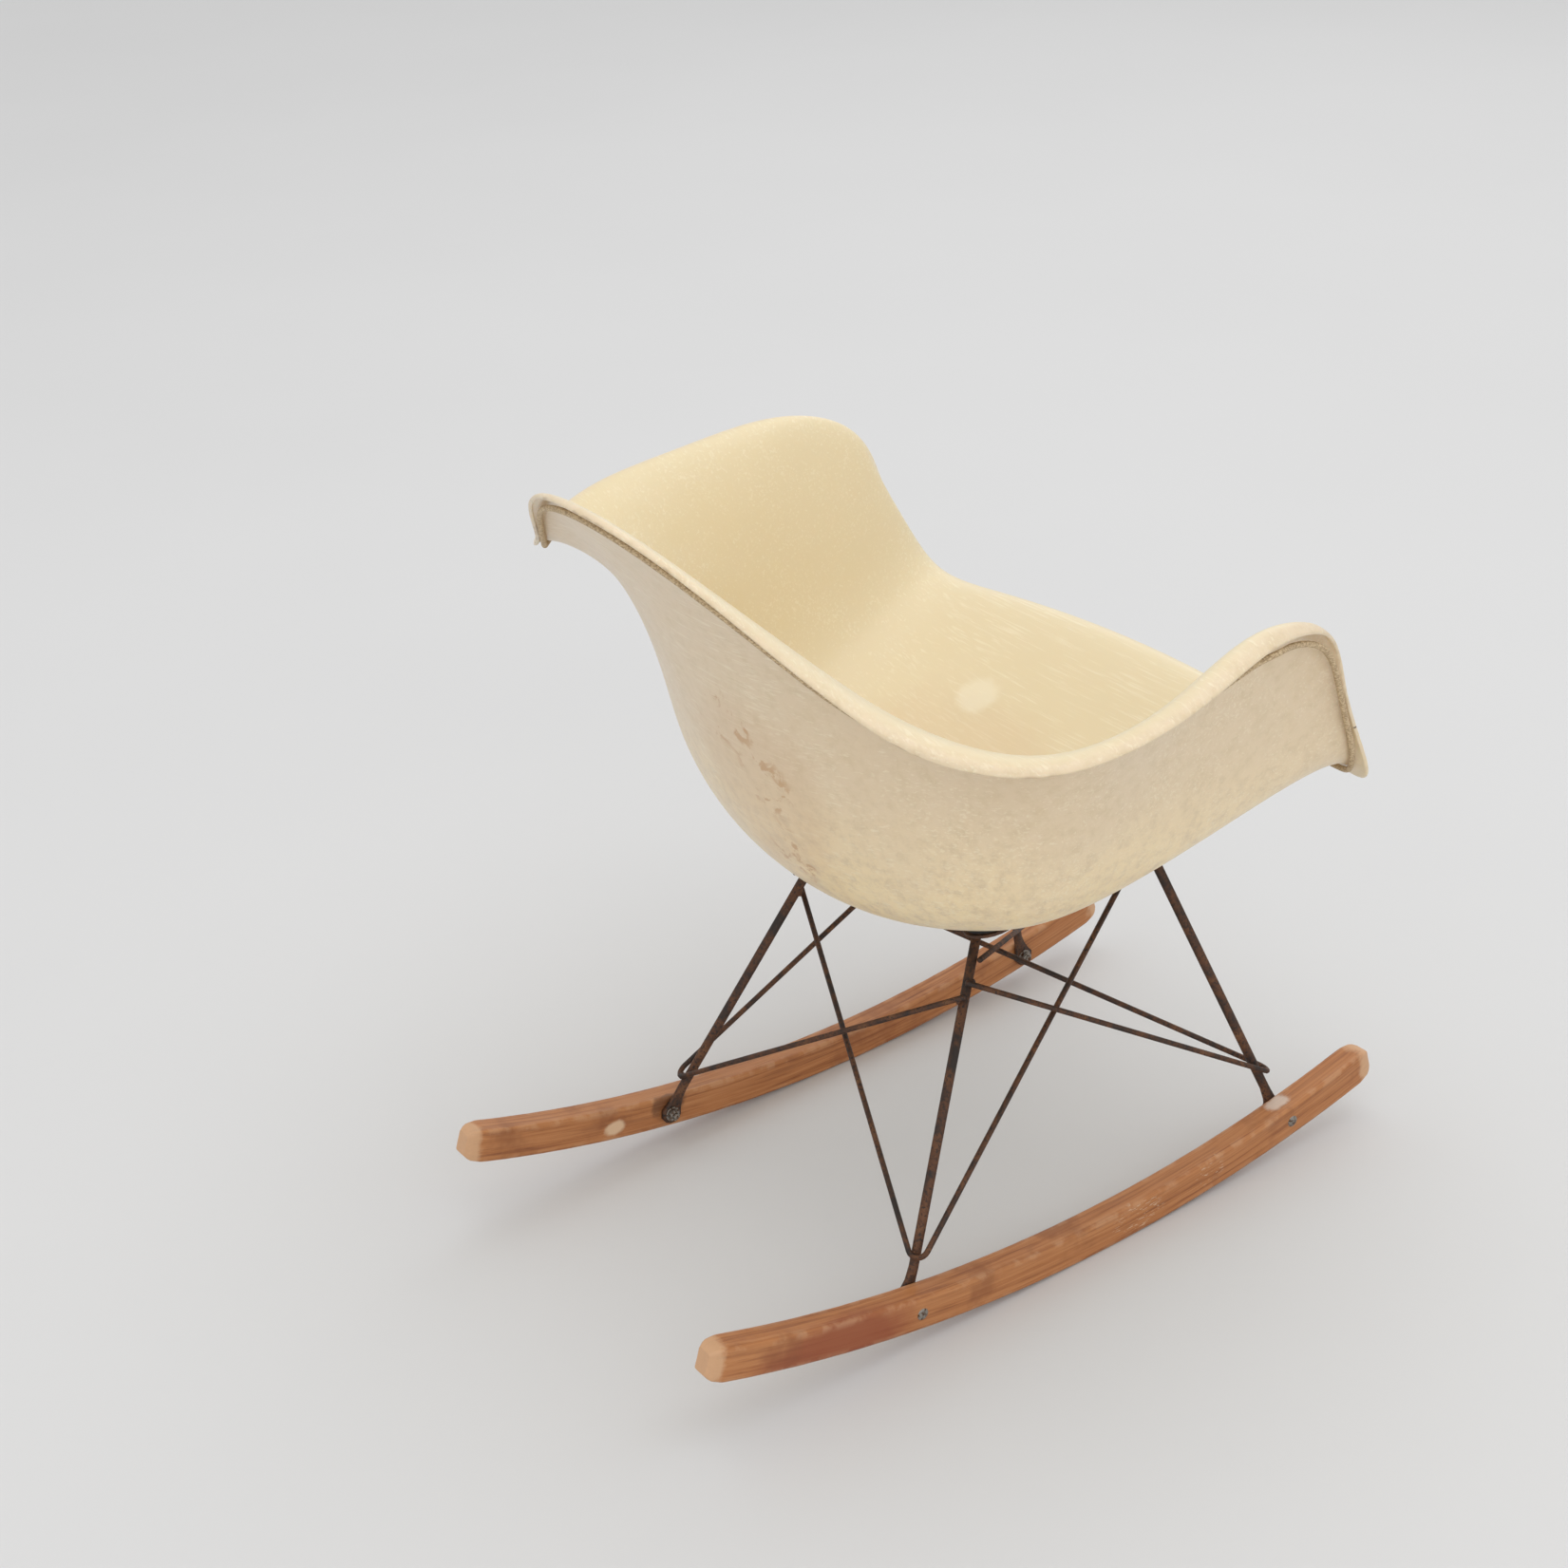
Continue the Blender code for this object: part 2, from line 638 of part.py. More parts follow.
def build_bolt(rocker, leg):
    """The bolt, washer and nut that hold a leg's eye to its rocker."""
    sign = leg.sign
    outward = Vector((sign, 0, 0))
    outer = Vector((sign * (ROCKER_INNER + ROCKER_WIDTH), leg.eye.y, leg.eye.z))
    inner = Vector((leg.eye.x - sign * EYE_THICKNESS / 2, leg.eye.y, leg.eye.z))
    recess = BOLT_HEAD_HEIGHT * 0.7
    seat = outer - outward * recess
    cut(rocker, bar_cutter("bolt_bore_" + leg.name, inner - outward * 0.01, outer + outward * 0.01,
                           BOLT_RADIUS + GAP))
    cut(rocker, bar_cutter("bolt_recess_" + leg.name, seat, outer + outward * 0.01,
                           BOLT_HEAD_RADIUS + GAP))
    washer = inner - outward * (GAP + WASHER_THICKNESS)
    bore = BOLT_RADIUS + GAP
    ring = [(WASHER_RADIUS, WASHER_THICKNESS), (WASHER_RADIUS, 0.0), (bore, 0.0), (bore, WASHER_THICKNESS)]
    turned("rocker_washer_" + leg.name, ring, washer, outward, STEEL, 14, closed=True)
    nut_low = washer - outward * (GAP + NUT_HEIGHT)
    shape = bmesh.new()
    bmesh.ops.create_cone(
        shape, cap_ends=True, segments=6, radius1=NUT_RADIUS, radius2=NUT_RADIUS, depth=NUT_HEIGHT
    )
    nut = add_bmesh("rocker_nut_" + leg.name, shape, WIRE)
    nut.matrix_world = frame_along(nut_low + outward * NUT_HEIGHT / 2, outward)
    cut(nut, bar_cutter("nut_bore_" + leg.name, nut_low - outward * 0.01, washer + outward * 0.01,
                        bore))
    tail = nut_low - outward * BOLT_TAIL
    base = (seat + outward * GAP - tail).dot(outward)
    head = base + BOLT_HEAD_HEIGHT
    screw = [
        (0.0, head), (BOLT_HEAD_RADIUS * 0.6, head), (BOLT_HEAD_RADIUS, head - BOLT_HEAD_HEIGHT * 0.45),
        (BOLT_HEAD_RADIUS, base), (BOLT_RADIUS, base), (BOLT_RADIUS, 0.0), (0.0, 0.0),
    ]
    turned("rocker_bolt_" + leg.name, screw, tail, outward, STEEL, 12)


# ---------------------------------------------------------------- braces
def nearest_gap(points, low, high):
    """Least distance from a line of points to a straight stretch."""
    run = high - low
    best = 1.0
    for start, end in zip(points, points[1:]):
        for i in range(41):
            p = start.lerp(end, i / 40)
            t = min(max((p - low).dot(run) / run.length_squared, 0.0), 1.0)
            best = min(best, (p - (low + run * t)).length)
    return best


def bent_wire(first, corner, second):
    """Points from first round the corner's bend to second."""
    a = (first - corner).normalized()
    b = (second - corner).normalized()
    half = a.angle(b) / 2
    middle = (a + b).normalized()
    centre = corner + middle * (BRACE_BEND / math.sin(half))
    sweep = math.pi - 2 * half
    across = (b - a).normalized()
    points = [first]
    for i in range(9):
        t = -sweep / 2 + sweep * i / 8
        points.append(centre - middle * (BRACE_BEND * math.cos(t)) + across * (BRACE_BEND * math.sin(t)))
    points.append(second)
    return points


def build_brace(leg, low, targets):
    """A V of wire: its bend clasps the leg and its ends are fixed to two other legs.

    Each target is (leg, part of its length, the way to the face that the wire lies on).
    """
    reach = LEG_RADIUS + BRACE_RADIUS + GAP
    knee = leg.at(low)
    tops = [other.at(part) for other, part, _ in targets]
    bisector = sum(((t - knee).normalized() for t in tops), Vector()).normalized()
    out = -(bisector - leg.run * bisector.dot(leg.run)).normalized()
    ends = list(tops)
    corner = knee
    push = reach
    for _ in range(6):
        for i, (other, part, face) in enumerate(targets):
            run = (other.at(part) - corner).normalized()
            aside = other.run.cross(run).normalized() * reach
            ends[i] = other.at(part) + (aside if aside.dot(face) > 0 else -aside)
        a = (ends[0] - corner).normalized()
        b = (ends[1] - corner).normalized()
        half = a.angle(b) / 2
        corner = knee + out * push - (a + b).normalized() * (BRACE_BEND / math.sin(half) - BRACE_BEND)
        close = nearest_gap(bent_wire(ends[0], corner, ends[1]), leg.neck, leg.top)
        push += max(reach - close, 0.0)
    tails = [e + (e - corner).normalized() * BRACE_TAIL for e in ends]
    poly_tube("brace_" + leg.name, bent_wire(tails[0], corner, tails[1]), BRACE_RADIUS, WIRE)


def build_spreader(name, first, second):
    start = first.at(SPREADER_PLACE)
    end = second.at(SPREADER_PLACE)
    slant = (end - start).angle(first.run)
    slant = min(slant, math.pi - slant)
    inset = LEG_RADIUS / math.sin(slant) + SPREADER_RADIUS / math.tan(slant) + GAP
    inset = (end - start).normalized() * inset
    rod(name, start + inset, end - inset, SPREADER_RADIUS, WIRE)


# ---------------------------------------------------------------- the chair
seat_shell, shell_sheet = build_shell()
underside = surface_of(seat_shell)
build_rim_cord(shell_sheet, underside)
rockers = {side: build_rocker(side, sign) for side, sign in SIDES.items()}
legs = {}
for side in SIDES:
    for end in ENDS:
        mount = Mount(side, end, underside)
        mount.build_pad()
        mount.build_plate()
        mount.build_fastener()
        legs[end, side] = Leg(side, end, mount)
        legs[end, side].build()
        build_bolt(rockers[side], legs[end, side])

BACK = Vector((0, 1, 0))
for side, other, face, step in (("left", "right", BACK, 0.0), ("right", "left", -BACK, -DIAGONAL_STEP)):
    outboard = Vector((SIDES[side], 0, 0))
    rear_targets = [
        (legs["rear", other], BRACE_TO_REAR_LEG, face),
        (legs["front", side], BRACE_TO_FRONT_LEG, -outboard),
    ]
    build_brace(legs["rear", side], BRACE_LOW_REAR, rear_targets)
    front_targets = [
        (legs["rear", side], BRACE_TO_SAME_SIDE, outboard),
        (legs["rear", other], BRACE_TO_DIAGONAL + step, -BACK),
    ]
    build_brace(legs["front", side], BRACE_LOW_FRONT, front_targets)

build_spreader("spreader_rear", legs["rear", "left"], legs["rear", "right"])
build_spreader("spreader_front", legs["front", "left"], legs["front", "right"])
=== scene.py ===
"""A rocking armchair: a moulded fibreglass shell on a braced wire base with two bent wooden rockers.

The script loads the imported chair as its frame, remakes each sub-assembly finely, gives every piece
its finish, and sets a plain studio around it. Units are metres, +Z is up and the chair faces -Y.
"""

from __future__ import annotations

import logging
import math
from dataclasses import dataclass
from enum import Enum

import bmesh
import bpy
from mathutils import Matrix, Vector, kdtree
from mathutils.bvhtree import BVHTree


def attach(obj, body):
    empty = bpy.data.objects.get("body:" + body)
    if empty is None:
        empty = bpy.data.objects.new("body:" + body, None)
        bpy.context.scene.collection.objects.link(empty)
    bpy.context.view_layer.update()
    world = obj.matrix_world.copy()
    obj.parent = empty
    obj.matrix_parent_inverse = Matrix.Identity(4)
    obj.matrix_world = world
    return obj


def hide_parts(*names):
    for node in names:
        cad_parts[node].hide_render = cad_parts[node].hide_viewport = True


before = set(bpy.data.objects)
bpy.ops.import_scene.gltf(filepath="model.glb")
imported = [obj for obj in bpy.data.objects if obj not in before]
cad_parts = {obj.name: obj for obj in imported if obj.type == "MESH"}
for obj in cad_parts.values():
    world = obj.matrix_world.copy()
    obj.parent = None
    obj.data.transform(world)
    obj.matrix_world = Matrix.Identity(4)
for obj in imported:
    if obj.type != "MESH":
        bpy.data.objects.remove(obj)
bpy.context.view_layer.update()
log = logging.getLogger("rocking_armchair")

Colour = tuple[float, float, float]
Stop = tuple[float, Colour]
Point = tuple[float, float, float]


class Side(Enum):
    """A side of the chair, as its sitter sees it."""

    LEFT = "left"
    RIGHT = "right"


class End(Enum):
    """The front or the rear of the chair."""

    FRONT = "front"
    REAR = "rear"


class Slot(Enum):
    """The record's material slots."""

    FIBREGLASS = "fibreglass"
    CORD = "cord"
    WOOD = "birch"
    WIRE = "rusted_steel"
    STEEL = "dull_steel"
    RUBBER = "rubber"


PLACES = [(end, side) for end in End for side in Side]


def place_name(end: End, side: Side) -> str:
    """The ending of a node's name at one corner of the chair."""
    return f"{end.value}_{side.value}"


# ---------------------------------------------------------------- node helpers
class Recipe:
    """A material's node tree, with short calls for the nodes that the finishes share."""

    def __init__(self, name: str) -> None:
        """Starts a material with a Principled shader.

        Args:
            name: the material's name.
        """
        self.material = bpy.data.materials.new(name)
        self.material.use_nodes = True
        self.nodes = self.material.node_tree.nodes
        self.links = self.material.node_tree.links
        self.shader = self.nodes["Principled BSDF"]
        self.where = self.nodes.new("ShaderNodeTexCoord").outputs["Object"]

    def put(self, value: object, socket: bpy.types.NodeSocket) -> None:
        """Links a socket, or sets a number or colour, on an input."""
        if isinstance(value, bpy.types.NodeSocket):
            self.links.new(value, socket)
        elif isinstance(value, tuple) and len(value) == 3 and socket.type == "RGBA":
            socket.default_value = (*value, 1.0)
        else:
            socket.default_value = value

    def mapped(self, scale: Point, turn: Point = (0, 0, 0), move: Point = (0, 0, 0)) -> bpy.types.NodeSocket:
        """Object coordinates, moved, turned and scaled.

        Args:
            scale: scale along each axis.
            turn: turn about each axis, in degrees.
            move: shift, in metres.

        Returns:
            The mapped coordinates.
        """
        node = self.nodes.new("ShaderNodeMapping")
        node.vector_type = "POINT"
        self.links.new(self.where, node.inputs["Vector"])
        node.inputs["Location"].default_value = move
        node.inputs["Rotation"].default_value = [math.radians(a) for a in turn]
        node.inputs["Scale"].default_value = scale
        return node.outputs["Vector"]

    def noise(
        self, scale: float, detail: float = 3.0, rough: float = 0.55, warp: float = 0.0,
        at: bpy.types.NodeSocket | None = None,
    ) -> bpy.types.NodeSocket:
        """A noise value.

        Args:
            scale: noise scale.
            detail: octaves.
            rough: octave strength.
            warp: distortion.
            at: coordinates, or Object coordinates when left out.

        Returns:
            The noise's value socket.
        """
        node = self.nodes.new("ShaderNodeTexNoise")
        self.links.new(at or self.where, node.inputs["Vector"])
        node.inputs["Scale"].default_value = scale
        node.inputs["Detail"].default_value = detail
        node.inputs["Roughness"].default_value = rough
        node.inputs["Distortion"].default_value = warp
        return node.outputs["Fac"]

    def cells(self, scale: float, at: bpy.types.NodeSocket | None = None, edges: bool = False) -> bpy.types.NodeSocket:
        """Distance inside Voronoi cells, or to their edges."""
        node = self.nodes.new("ShaderNodeTexVoronoi")
        node.feature = "DISTANCE_TO_EDGE" if edges else "F1"
        self.links.new(at or self.where, node.inputs["Vector"])
        node.inputs["Scale"].default_value = scale
        return node.outputs["Distance"]

    def math(self, kind: str, a: object, b: object = 0.5, clamp: bool = False) -> bpy.types.NodeSocket:
        """One arithmetic step."""
        node = self.nodes.new("ShaderNodeMath")
        node.operation = kind
        node.use_clamp = clamp
        self.put(a, node.inputs[0])
        self.put(b, node.inputs[1])
        return node.outputs[0]

    def step(self, value: bpy.types.NodeSocket, low: float, high: float) -> bpy.types.NodeSocket:
        """0 below low and 1 above high, smooth between; low may be the larger."""
        node = self.nodes.new("ShaderNodeMapRange")
        node.interpolation_type = "SMOOTHSTEP"
        self.put(value, node.inputs["Value"])
        flip = low > high
        node.inputs["From Min"].default_value = min(low, high)
        node.inputs["From Max"].default_value = max(low, high)
        node.inputs["To Min"].default_value = 1.0 if flip else 0.0
        node.inputs["To Max"].default_value = 0.0 if flip else 1.0
        return node.outputs["Result"]

    def ramp(self, value: bpy.types.NodeSocket, stops: list[Stop]) -> bpy.types.NodeSocket:
        """A colour ramp.

        Args:
            value: what drives it.
            stops: places and linear colours.

        Returns:
            The ramp's colour.
        """
        node = self.nodes.new("ShaderNodeValToRGB")
        self.links.new(value, node.inputs["Fac"])
        ramp = node.color_ramp
        while len(ramp.elements) < len(stops):
            ramp.elements.new(0.5)
        for element, (place, colour) in zip(ramp.elements, stops):
            element.position = place
            element.color = (*colour, 1.0)
        return node.outputs["Color"]

    def mix(self, share: object, a: object, b: object, kind: str = "MIX") -> bpy.types.NodeSocket:
        """Mixes two colours."""
        node = self.nodes.new("ShaderNodeMix")
        node.data_type = "RGBA"
        node.blend_type = kind
        self.put(share, node.inputs["Factor"])
        self.put(a, node.inputs[6])
        self.put(b, node.inputs[7])
        return node.outputs[2]

    def spot(self, centre: Point, radii: Point, ragged: float = 0.0, scale: float = 40.0) -> bpy.types.NodeSocket:
        """1 inside an ellipsoid with a soft, ragged edge.

        Args:
            centre: its centre.
            radii: its half sizes.
            ragged: how far noise moves the edge.
            scale: the noise's scale.

        Returns:
            The mask.
        """
        move = tuple(-c / r for c, r in zip(centre, radii))
        scaled = self.mapped(tuple(1 / r for r in radii), move=move)
        node = self.nodes.new("ShaderNodeVectorMath")
        node.operation = "LENGTH"
        self.links.new(scaled, node.inputs[0])
        far = node.outputs["Value"]
        if ragged:
            shift = self.math("MULTIPLY", self.math("SUBTRACT", self.noise(scale, 4), 0.5), ragged * 2)
            far = self.math("ADD", far, shift)
        return self.step(far, 1.0, 0.55)

    def attribute(self, name: str) -> bpy.types.NodeSocket:
        """A value stored on the mesh's points."""
        node = self.nodes.new("ShaderNodeAttribute")
        node.attribute_name = name
        return node.outputs["Fac"]

    def bump(self, height: bpy.types.NodeSocket, strength: float, distance: float) -> None:
        """Drives the shader's normal from a height."""
        node = self.nodes.new("ShaderNodeBump")
        node.inputs["Strength"].default_value = strength
        node.inputs["Distance"].default_value = distance
        self.links.new(height, node.inputs["Height"])
        self.links.new(node.outputs["Normal"], self.shader.inputs["Normal"])

    def finish(self, colour: object, rough: object, metal: float = 0.0) -> bpy.types.Material:
        """Sets colour, roughness and metal on the shader and hands over the material."""
        self.put(colour, self.shader.inputs["Base Color"])
        self.put(rough, self.shader.inputs["Roughness"])
        self.shader.inputs["Metallic"].default_value = metal
        return self.material


# ---------------------------------------------------------------- finishes
@dataclass(frozen=True)
class Fibreglass:
    """Aged, pale parchment fibreglass with strands of glass showing in it."""

    inside: Colour = (0.755, 0.640, 0.415)
    # Painted shade: a darker, deeper yellow for the hollow where the seat meets the back.
    inside_painted_shade: Colour = (0.720, 0.580, 0.315)
    outside: Colour = (0.735, 0.600, 0.415)
    # Painted glow: a brighter, yellower colour for the lower outer belly.
    painted_glow: Colour = (0.880, 0.720, 0.430)
    strand: Colour = (0.92, 0.85, 0.66)
    stain: Colour = (0.47, 0.24, 0.075)
    edge_wear: Colour = (0.25, 0.135, 0.05)
    strand_turns: tuple[Point, ...] = ((12, 20, 25), (70, 5, 80), (35, 60, 140), (80, 40, 10), (5, 75, 55))

    def strands(self, r: Recipe) -> bpy.types.NodeSocket:
        """Fine straight and bent strands in several directions.

        Args:
            r: the material being made.

        Returns:
            1 where a strand lies.
        """
        total: object = 0.0
        for i, turn in enumerate(self.strand_turns):
            along = r.mapped((16.0, 420.0, 420.0), turn=turn, move=(i * 1.7, i * 0.9, 0.3 * i))
            line = r.step(r.noise(1.0, 2.0, 0.4, 0.25, along), 0.60, 0.70)
            patch = r.step(r.noise(13.0 + 4 * i, 2.0), 0.42, 0.62)
            total = r.math("MAXIMUM", total, r.math("MULTIPLY", line, patch))
        return total

    def build(self) -> bpy.types.Material:
        """Makes the material."""
        r = Recipe(Slot.FIBREGLASS.value)
        inner = r.attribute("inner_side")
        rim = r.attribute("rim_distance")
        height = r.nodes.new("ShaderNodeSeparateXYZ")
        r.links.new(r.where, height.inputs[0])
        up = height.outputs["Z"]
        back = height.outputs["Y"]
        cloud = r.noise(7.0, 4.0, 0.6, 0.4)
        # Painted shade: the lower rear of the inside, where the seat meets the back, is drawn darker and deeper
        # yellow, broken up by a cloud.
        deep = r.math("MULTIPLY", r.step(back, -0.12, 0.12), r.step(up, 0.66, 0.42))
        deep = r.math("MULTIPLY", deep, r.step(cloud, 0.25, 0.65))
        inside = r.mix(deep, self.inside, self.inside_painted_shade)
        # Painted glow: the lower outside of the shell is drawn brighter and yellower, broken up by a cloud.
        low = r.math("MULTIPLY", r.step(up, 0.47, 0.33), r.step(cloud, 0.2, 0.6))
        outside = r.mix(low, self.outside, self.painted_glow)
        fine = r.noise(90.0, 5.0, 0.7)
        outside = r.mix(r.step(fine, 0.4, 0.75), outside, (0.67, 0.54, 0.35))
        colour = r.mix(inner, outside, inside)
        strand = self.strands(r)
        colour = r.mix(r.math("MULTIPLY", strand, 0.30), colour, self.strand)
        flecks = r.step(r.cells(240.0, r.mapped((1, 1, 1), turn=(20, 30, 10))), 0.16, 0.08)
        colour = r.mix(r.math("MULTIPLY", flecks, 0.08), colour, self.strand)
        colour = self.marks(r, colour, inner, rim)
        r.bump(r.math("ADD", r.math("MULTIPLY", strand, 0.6), r.noise(160.0, 3.0)), 0.12, 0.0003)
        rough = r.math("ADD", 0.27, r.math("MULTIPLY", r.noise(30.0, 4.0), 0.20))
        r.shader.inputs["Coat Weight"].default_value = 0.18
        r.shader.inputs["Coat Roughness"].default_value = 0.28
        r.shader.inputs["Subsurface Weight"].default_value = 0.12
        r.shader.inputs["Subsurface Radius"].default_value = (0.012, 0.008, 0.004)
        r.shader.inputs["Subsurface Scale"].default_value = 0.6
        return r.finish(colour, rough)

    def marks(
        self, r: Recipe, colour: bpy.types.NodeSocket, inner: bpy.types.NodeSocket, rim: bpy.types.NodeSocket,
    ) -> bpy.types.NodeSocket:
        """Stains, wear along the rim, a pale spot over a mount and a short crack.

        Args:
            r: the material being made.
            colour: the shell's clean colour.
            inner: 1 on the sitter's side.
            rim: distance to the rim's edge.

        Returns:
            The marked colour.
        """
        outer = r.math("SUBTRACT", 1.0, inner)
        speck = r.step(r.noise(48.0, 5.0, 0.65, 0.8), 0.53, 0.62)
        for centre, radii in (
            ((0.0, 0.164, 0.48), (0.05, 0.05, 0.035)),
            ((-0.03, 0.150, 0.435), (0.035, 0.05, 0.04)),
            ((-0.03, 0.135, 0.365), (0.03, 0.05, 0.035)),
            ((-0.03, 0.10, 0.325), (0.03, 0.05, 0.03)),
        ):
            area = r.math("MULTIPLY", r.spot(centre, radii, 0.35, 25.0), r.math("MULTIPLY", speck, outer))
            colour = r.mix(r.math("MULTIPLY", area, 0.72), colour, self.stain)
        wash = r.math("MULTIPLY", r.spot((-0.02, 0.14, 0.42), (0.09, 0.09, 0.12), 0.4, 12.0), outer)
        colour = r.mix(r.math("MULTIPLY", wash, 0.28), colour, (0.62, 0.42, 0.24))
        seat_wear = r.math("MULTIPLY", r.spot((0.06, -0.07, 0.32), (0.13, 0.14, 0.07), 0.5, 16.0), inner)
        colour = r.mix(r.math("MULTIPLY", seat_wear, 0.28), colour, (0.66, 0.47, 0.28))
        pale = r.math("MULTIPLY", r.spot((0.101, -0.151, 0.353), (0.024, 0.024, 0.024), 0.25, 60.0), inner)
        colour = r.mix(r.math("MULTIPLY", pale, 0.50), colour, (0.88, 0.80, 0.62))
        worn = r.math("MULTIPLY", r.step(rim, 0.0030, 0.0010), r.step(r.noise(26.0, 4.0), 0.52, 0.66))
        colour = r.mix(r.math("MULTIPLY", worn, 0.45), colour, self.edge_wear)
        corner = r.math("MULTIPLY", r.spot((0.275, 0.15, 0.53), (0.05, 0.05, 0.03), 0.4), r.step(rim, 0.02, 0.004))
        colour = r.mix(r.math("MULTIPLY", corner, 0.6), colour, self.edge_wear)
        crack = r.spot((-0.2717, -0.2076, 0.448), (0.003, 0.014, 0.0012), 0.25, 300.0)
        return r.mix(crack, colour, (0.10, 0.05, 0.02))


@dataclass(frozen=True)
class StainedWood:
    """Bent, stained birch with worn edges, raw tips, scratches and a chip."""

    base: Colour = (0.40, 0.150, 0.045)
    light: Colour = (0.50, 0.22, 0.080)
    dark: Colour = (0.20, 0.058, 0.016)
    red: Colour = (0.24, 0.045, 0.014)
    raw: Colour = (0.60, 0.36, 0.20)
    pale: Colour = (0.62, 0.47, 0.33)

    def build(self) -> bpy.types.Material:
        """Makes the material."""
        r = Recipe(Slot.WOOD.value)
        along = r.attribute("along")
        across = r.attribute("depthwise")
        grain_at = r.nodes.new("ShaderNodeCombineXYZ")
        split = r.nodes.new("ShaderNodeSeparateXYZ")
        r.links.new(r.where, split.inputs[0])
        r.links.new(r.math("MULTIPLY", along, 9.0), grain_at.inputs["X"])
        r.links.new(r.math("MULTIPLY", across, 330.0), grain_at.inputs["Y"])
        r.links.new(r.math("MULTIPLY", split.outputs["X"], 330.0), grain_at.inputs["Z"])
        at = grain_at.outputs["Vector"]
        grain = r.noise(1.0, 5.0, 0.65, 0.6, at)
        broad = r.noise(0.22, 3.0, 0.5, 0.8, at)
        colour = r.ramp(grain, [(0.30, self.dark), (0.48, self.base), (0.72, self.light)])
        colour = r.mix(r.math("MULTIPLY", r.step(broad, 0.4, 0.7), 0.45), colour, self.light)
        pores = r.step(r.noise(2.4, 2.0, 0.5, 0.0, at), 0.66, 0.74)
        colour = r.mix(r.math("MULTIPLY", pores, 0.5), colour, self.dark)
        red = r.spot((-0.186, 0.235, 0.03), (0.020, 0.085, 0.055), 0.45, 18.0)
        colour = r.mix(r.math("MULTIPLY", red, 0.75), colour, self.red)
        blotch = r.step(r.noise(16.0, 4.0, 0.6), 0.52, 0.68)
        colour = r.mix(r.math("MULTIPLY", blotch, 0.50), colour, self.dark)
        edge = r.math("MULTIPLY", r.attribute("edge"), r.step(r.noise(60.0, 4.0), 0.45, 0.62))
        colour = r.mix(r.math("MULTIPLY", edge, 0.45), colour, self.raw)
        scratch = r.noise(1.0, 2.0, 0.5, 0.2, r.mapped((60.0, 130.0, 900.0), turn=(38, 0, 12)))
        scratch = r.step(scratch, 0.60, 0.66)
        for centre, radii in (((-0.186, -0.075, 0.018), (0.01, 0.035, 0.016)), ((-0.186, -0.155, 0.024), (0.01, 0.02, 0.016))):
            area = r.math("MULTIPLY", r.spot(centre, radii, 0.4, 80.0), scratch)
            colour = r.mix(r.math("MULTIPLY", area, 0.75), colour, self.pale)
        patch = r.spot((-0.172, -0.240, 0.050), (0.010, 0.016, 0.010), 0.5, 90.0)
        colour = r.mix(r.math("MULTIPLY", patch, 0.65), colour, (0.68, 0.60, 0.52))
        chip = r.spot((0.164, 0.202, 0.0387), (0.003, 0.012, 0.0085), 0.3, 110.0)
        colour = r.mix(chip, colour, (0.66, 0.45, 0.28))
        rust = r.spot((0.165, 0.147, 0.040), (0.006, 0.020, 0.016), 0.5, 90.0)
        colour = r.mix(r.math("MULTIPLY", rust, 0.7), colour, (0.10, 0.035, 0.012))
        tip = r.math("ADD", r.attribute("tip"), r.math("MULTIPLY", r.math("SUBTRACT", r.noise(55.0, 4.0), 0.5), 0.9))
        colour = r.mix(r.math("MULTIPLY", r.step(tip, 0.45, 0.75), 0.85), colour, self.raw)
        dents = r.math("ADD", r.math("MULTIPLY", grain, 0.5), r.math("MULTIPLY", r.noise(75.0, 4.0), 0.5))
        r.bump(dents, 0.35, 0.0006)
        rough = r.math("ADD", 0.42, r.math("MULTIPLY", r.noise(40.0, 4.0), 0.25))
        return r.finish(colour, rough)


@dataclass(frozen=True)
class RustedWire:
    """Black steel rod with brown rust over it."""

    dark: Colour = (0.028, 0.020, 0.017)
    rust: Colour = (0.115, 0.048, 0.022)
    bright: Colour = (0.23, 0.11, 0.05)

    def build(self) -> bpy.types.Material:
        """Makes the material."""
        r = Recipe(Slot.WIRE.value)
        patches = r.noise(45.0, 6.0, 0.7, 0.5)
        colour = r.ramp(patches, [(0.38, self.dark), (0.56, self.rust), (0.78, self.bright)])
        pits = r.noise(420.0, 3.0, 0.6)
        colour = r.mix(r.step(pits, 0.50, 0.66), colour, self.dark)
        r.bump(r.math("ADD", pits, patches), 0.5, 0.0004)
        rough = r.math("ADD", 0.45, r.math("MULTIPLY", patches, 0.35))
        return r.finish(colour, rough, 0.35)


@dataclass(frozen=True)
class DullSteel:
    """Plain steel fasteners, dulled and spotted with rust."""

    steel: Colour = (0.30, 0.28, 0.25)
    rust: Colour = (0.10, 0.045, 0.02)

    def build(self) -> bpy.types.Material:
        """Makes the material."""
        r = Recipe(Slot.STEEL.value)
        spots = r.noise(320.0, 5.0, 0.7, 0.4)
        colour = r.mix(r.step(spots, 0.46, 0.60), self.steel, self.rust)
        r.bump(spots, 0.3, 0.0002)
        return r.finish(colour, r.math("ADD", 0.35, r.math("MULTIPLY", spots, 0.3)), 0.8)


@dataclass(frozen=True)
class BlackRubber:
    """Old moulded rubber with a dusty bloom."""

    rubber: Colour = (0.018, 0.017, 0.016)
    bloom: Colour = (0.075, 0.070, 0.062)

    def build(self) -> bpy.types.Material:
        """Makes the material."""
        r = Recipe(Slot.RUBBER.value)
        dust = r.noise(120.0, 5.0, 0.65)
        colour = r.mix(r.step(dust, 0.45, 0.75), self.rubber, self.bloom)
        r.bump(r.noise(500.0, 2.0), 0.2, 0.0002)
        return r.finish(colour, r.math("ADD", 0.65, r.math("MULTIPLY", dust, 0.25)))


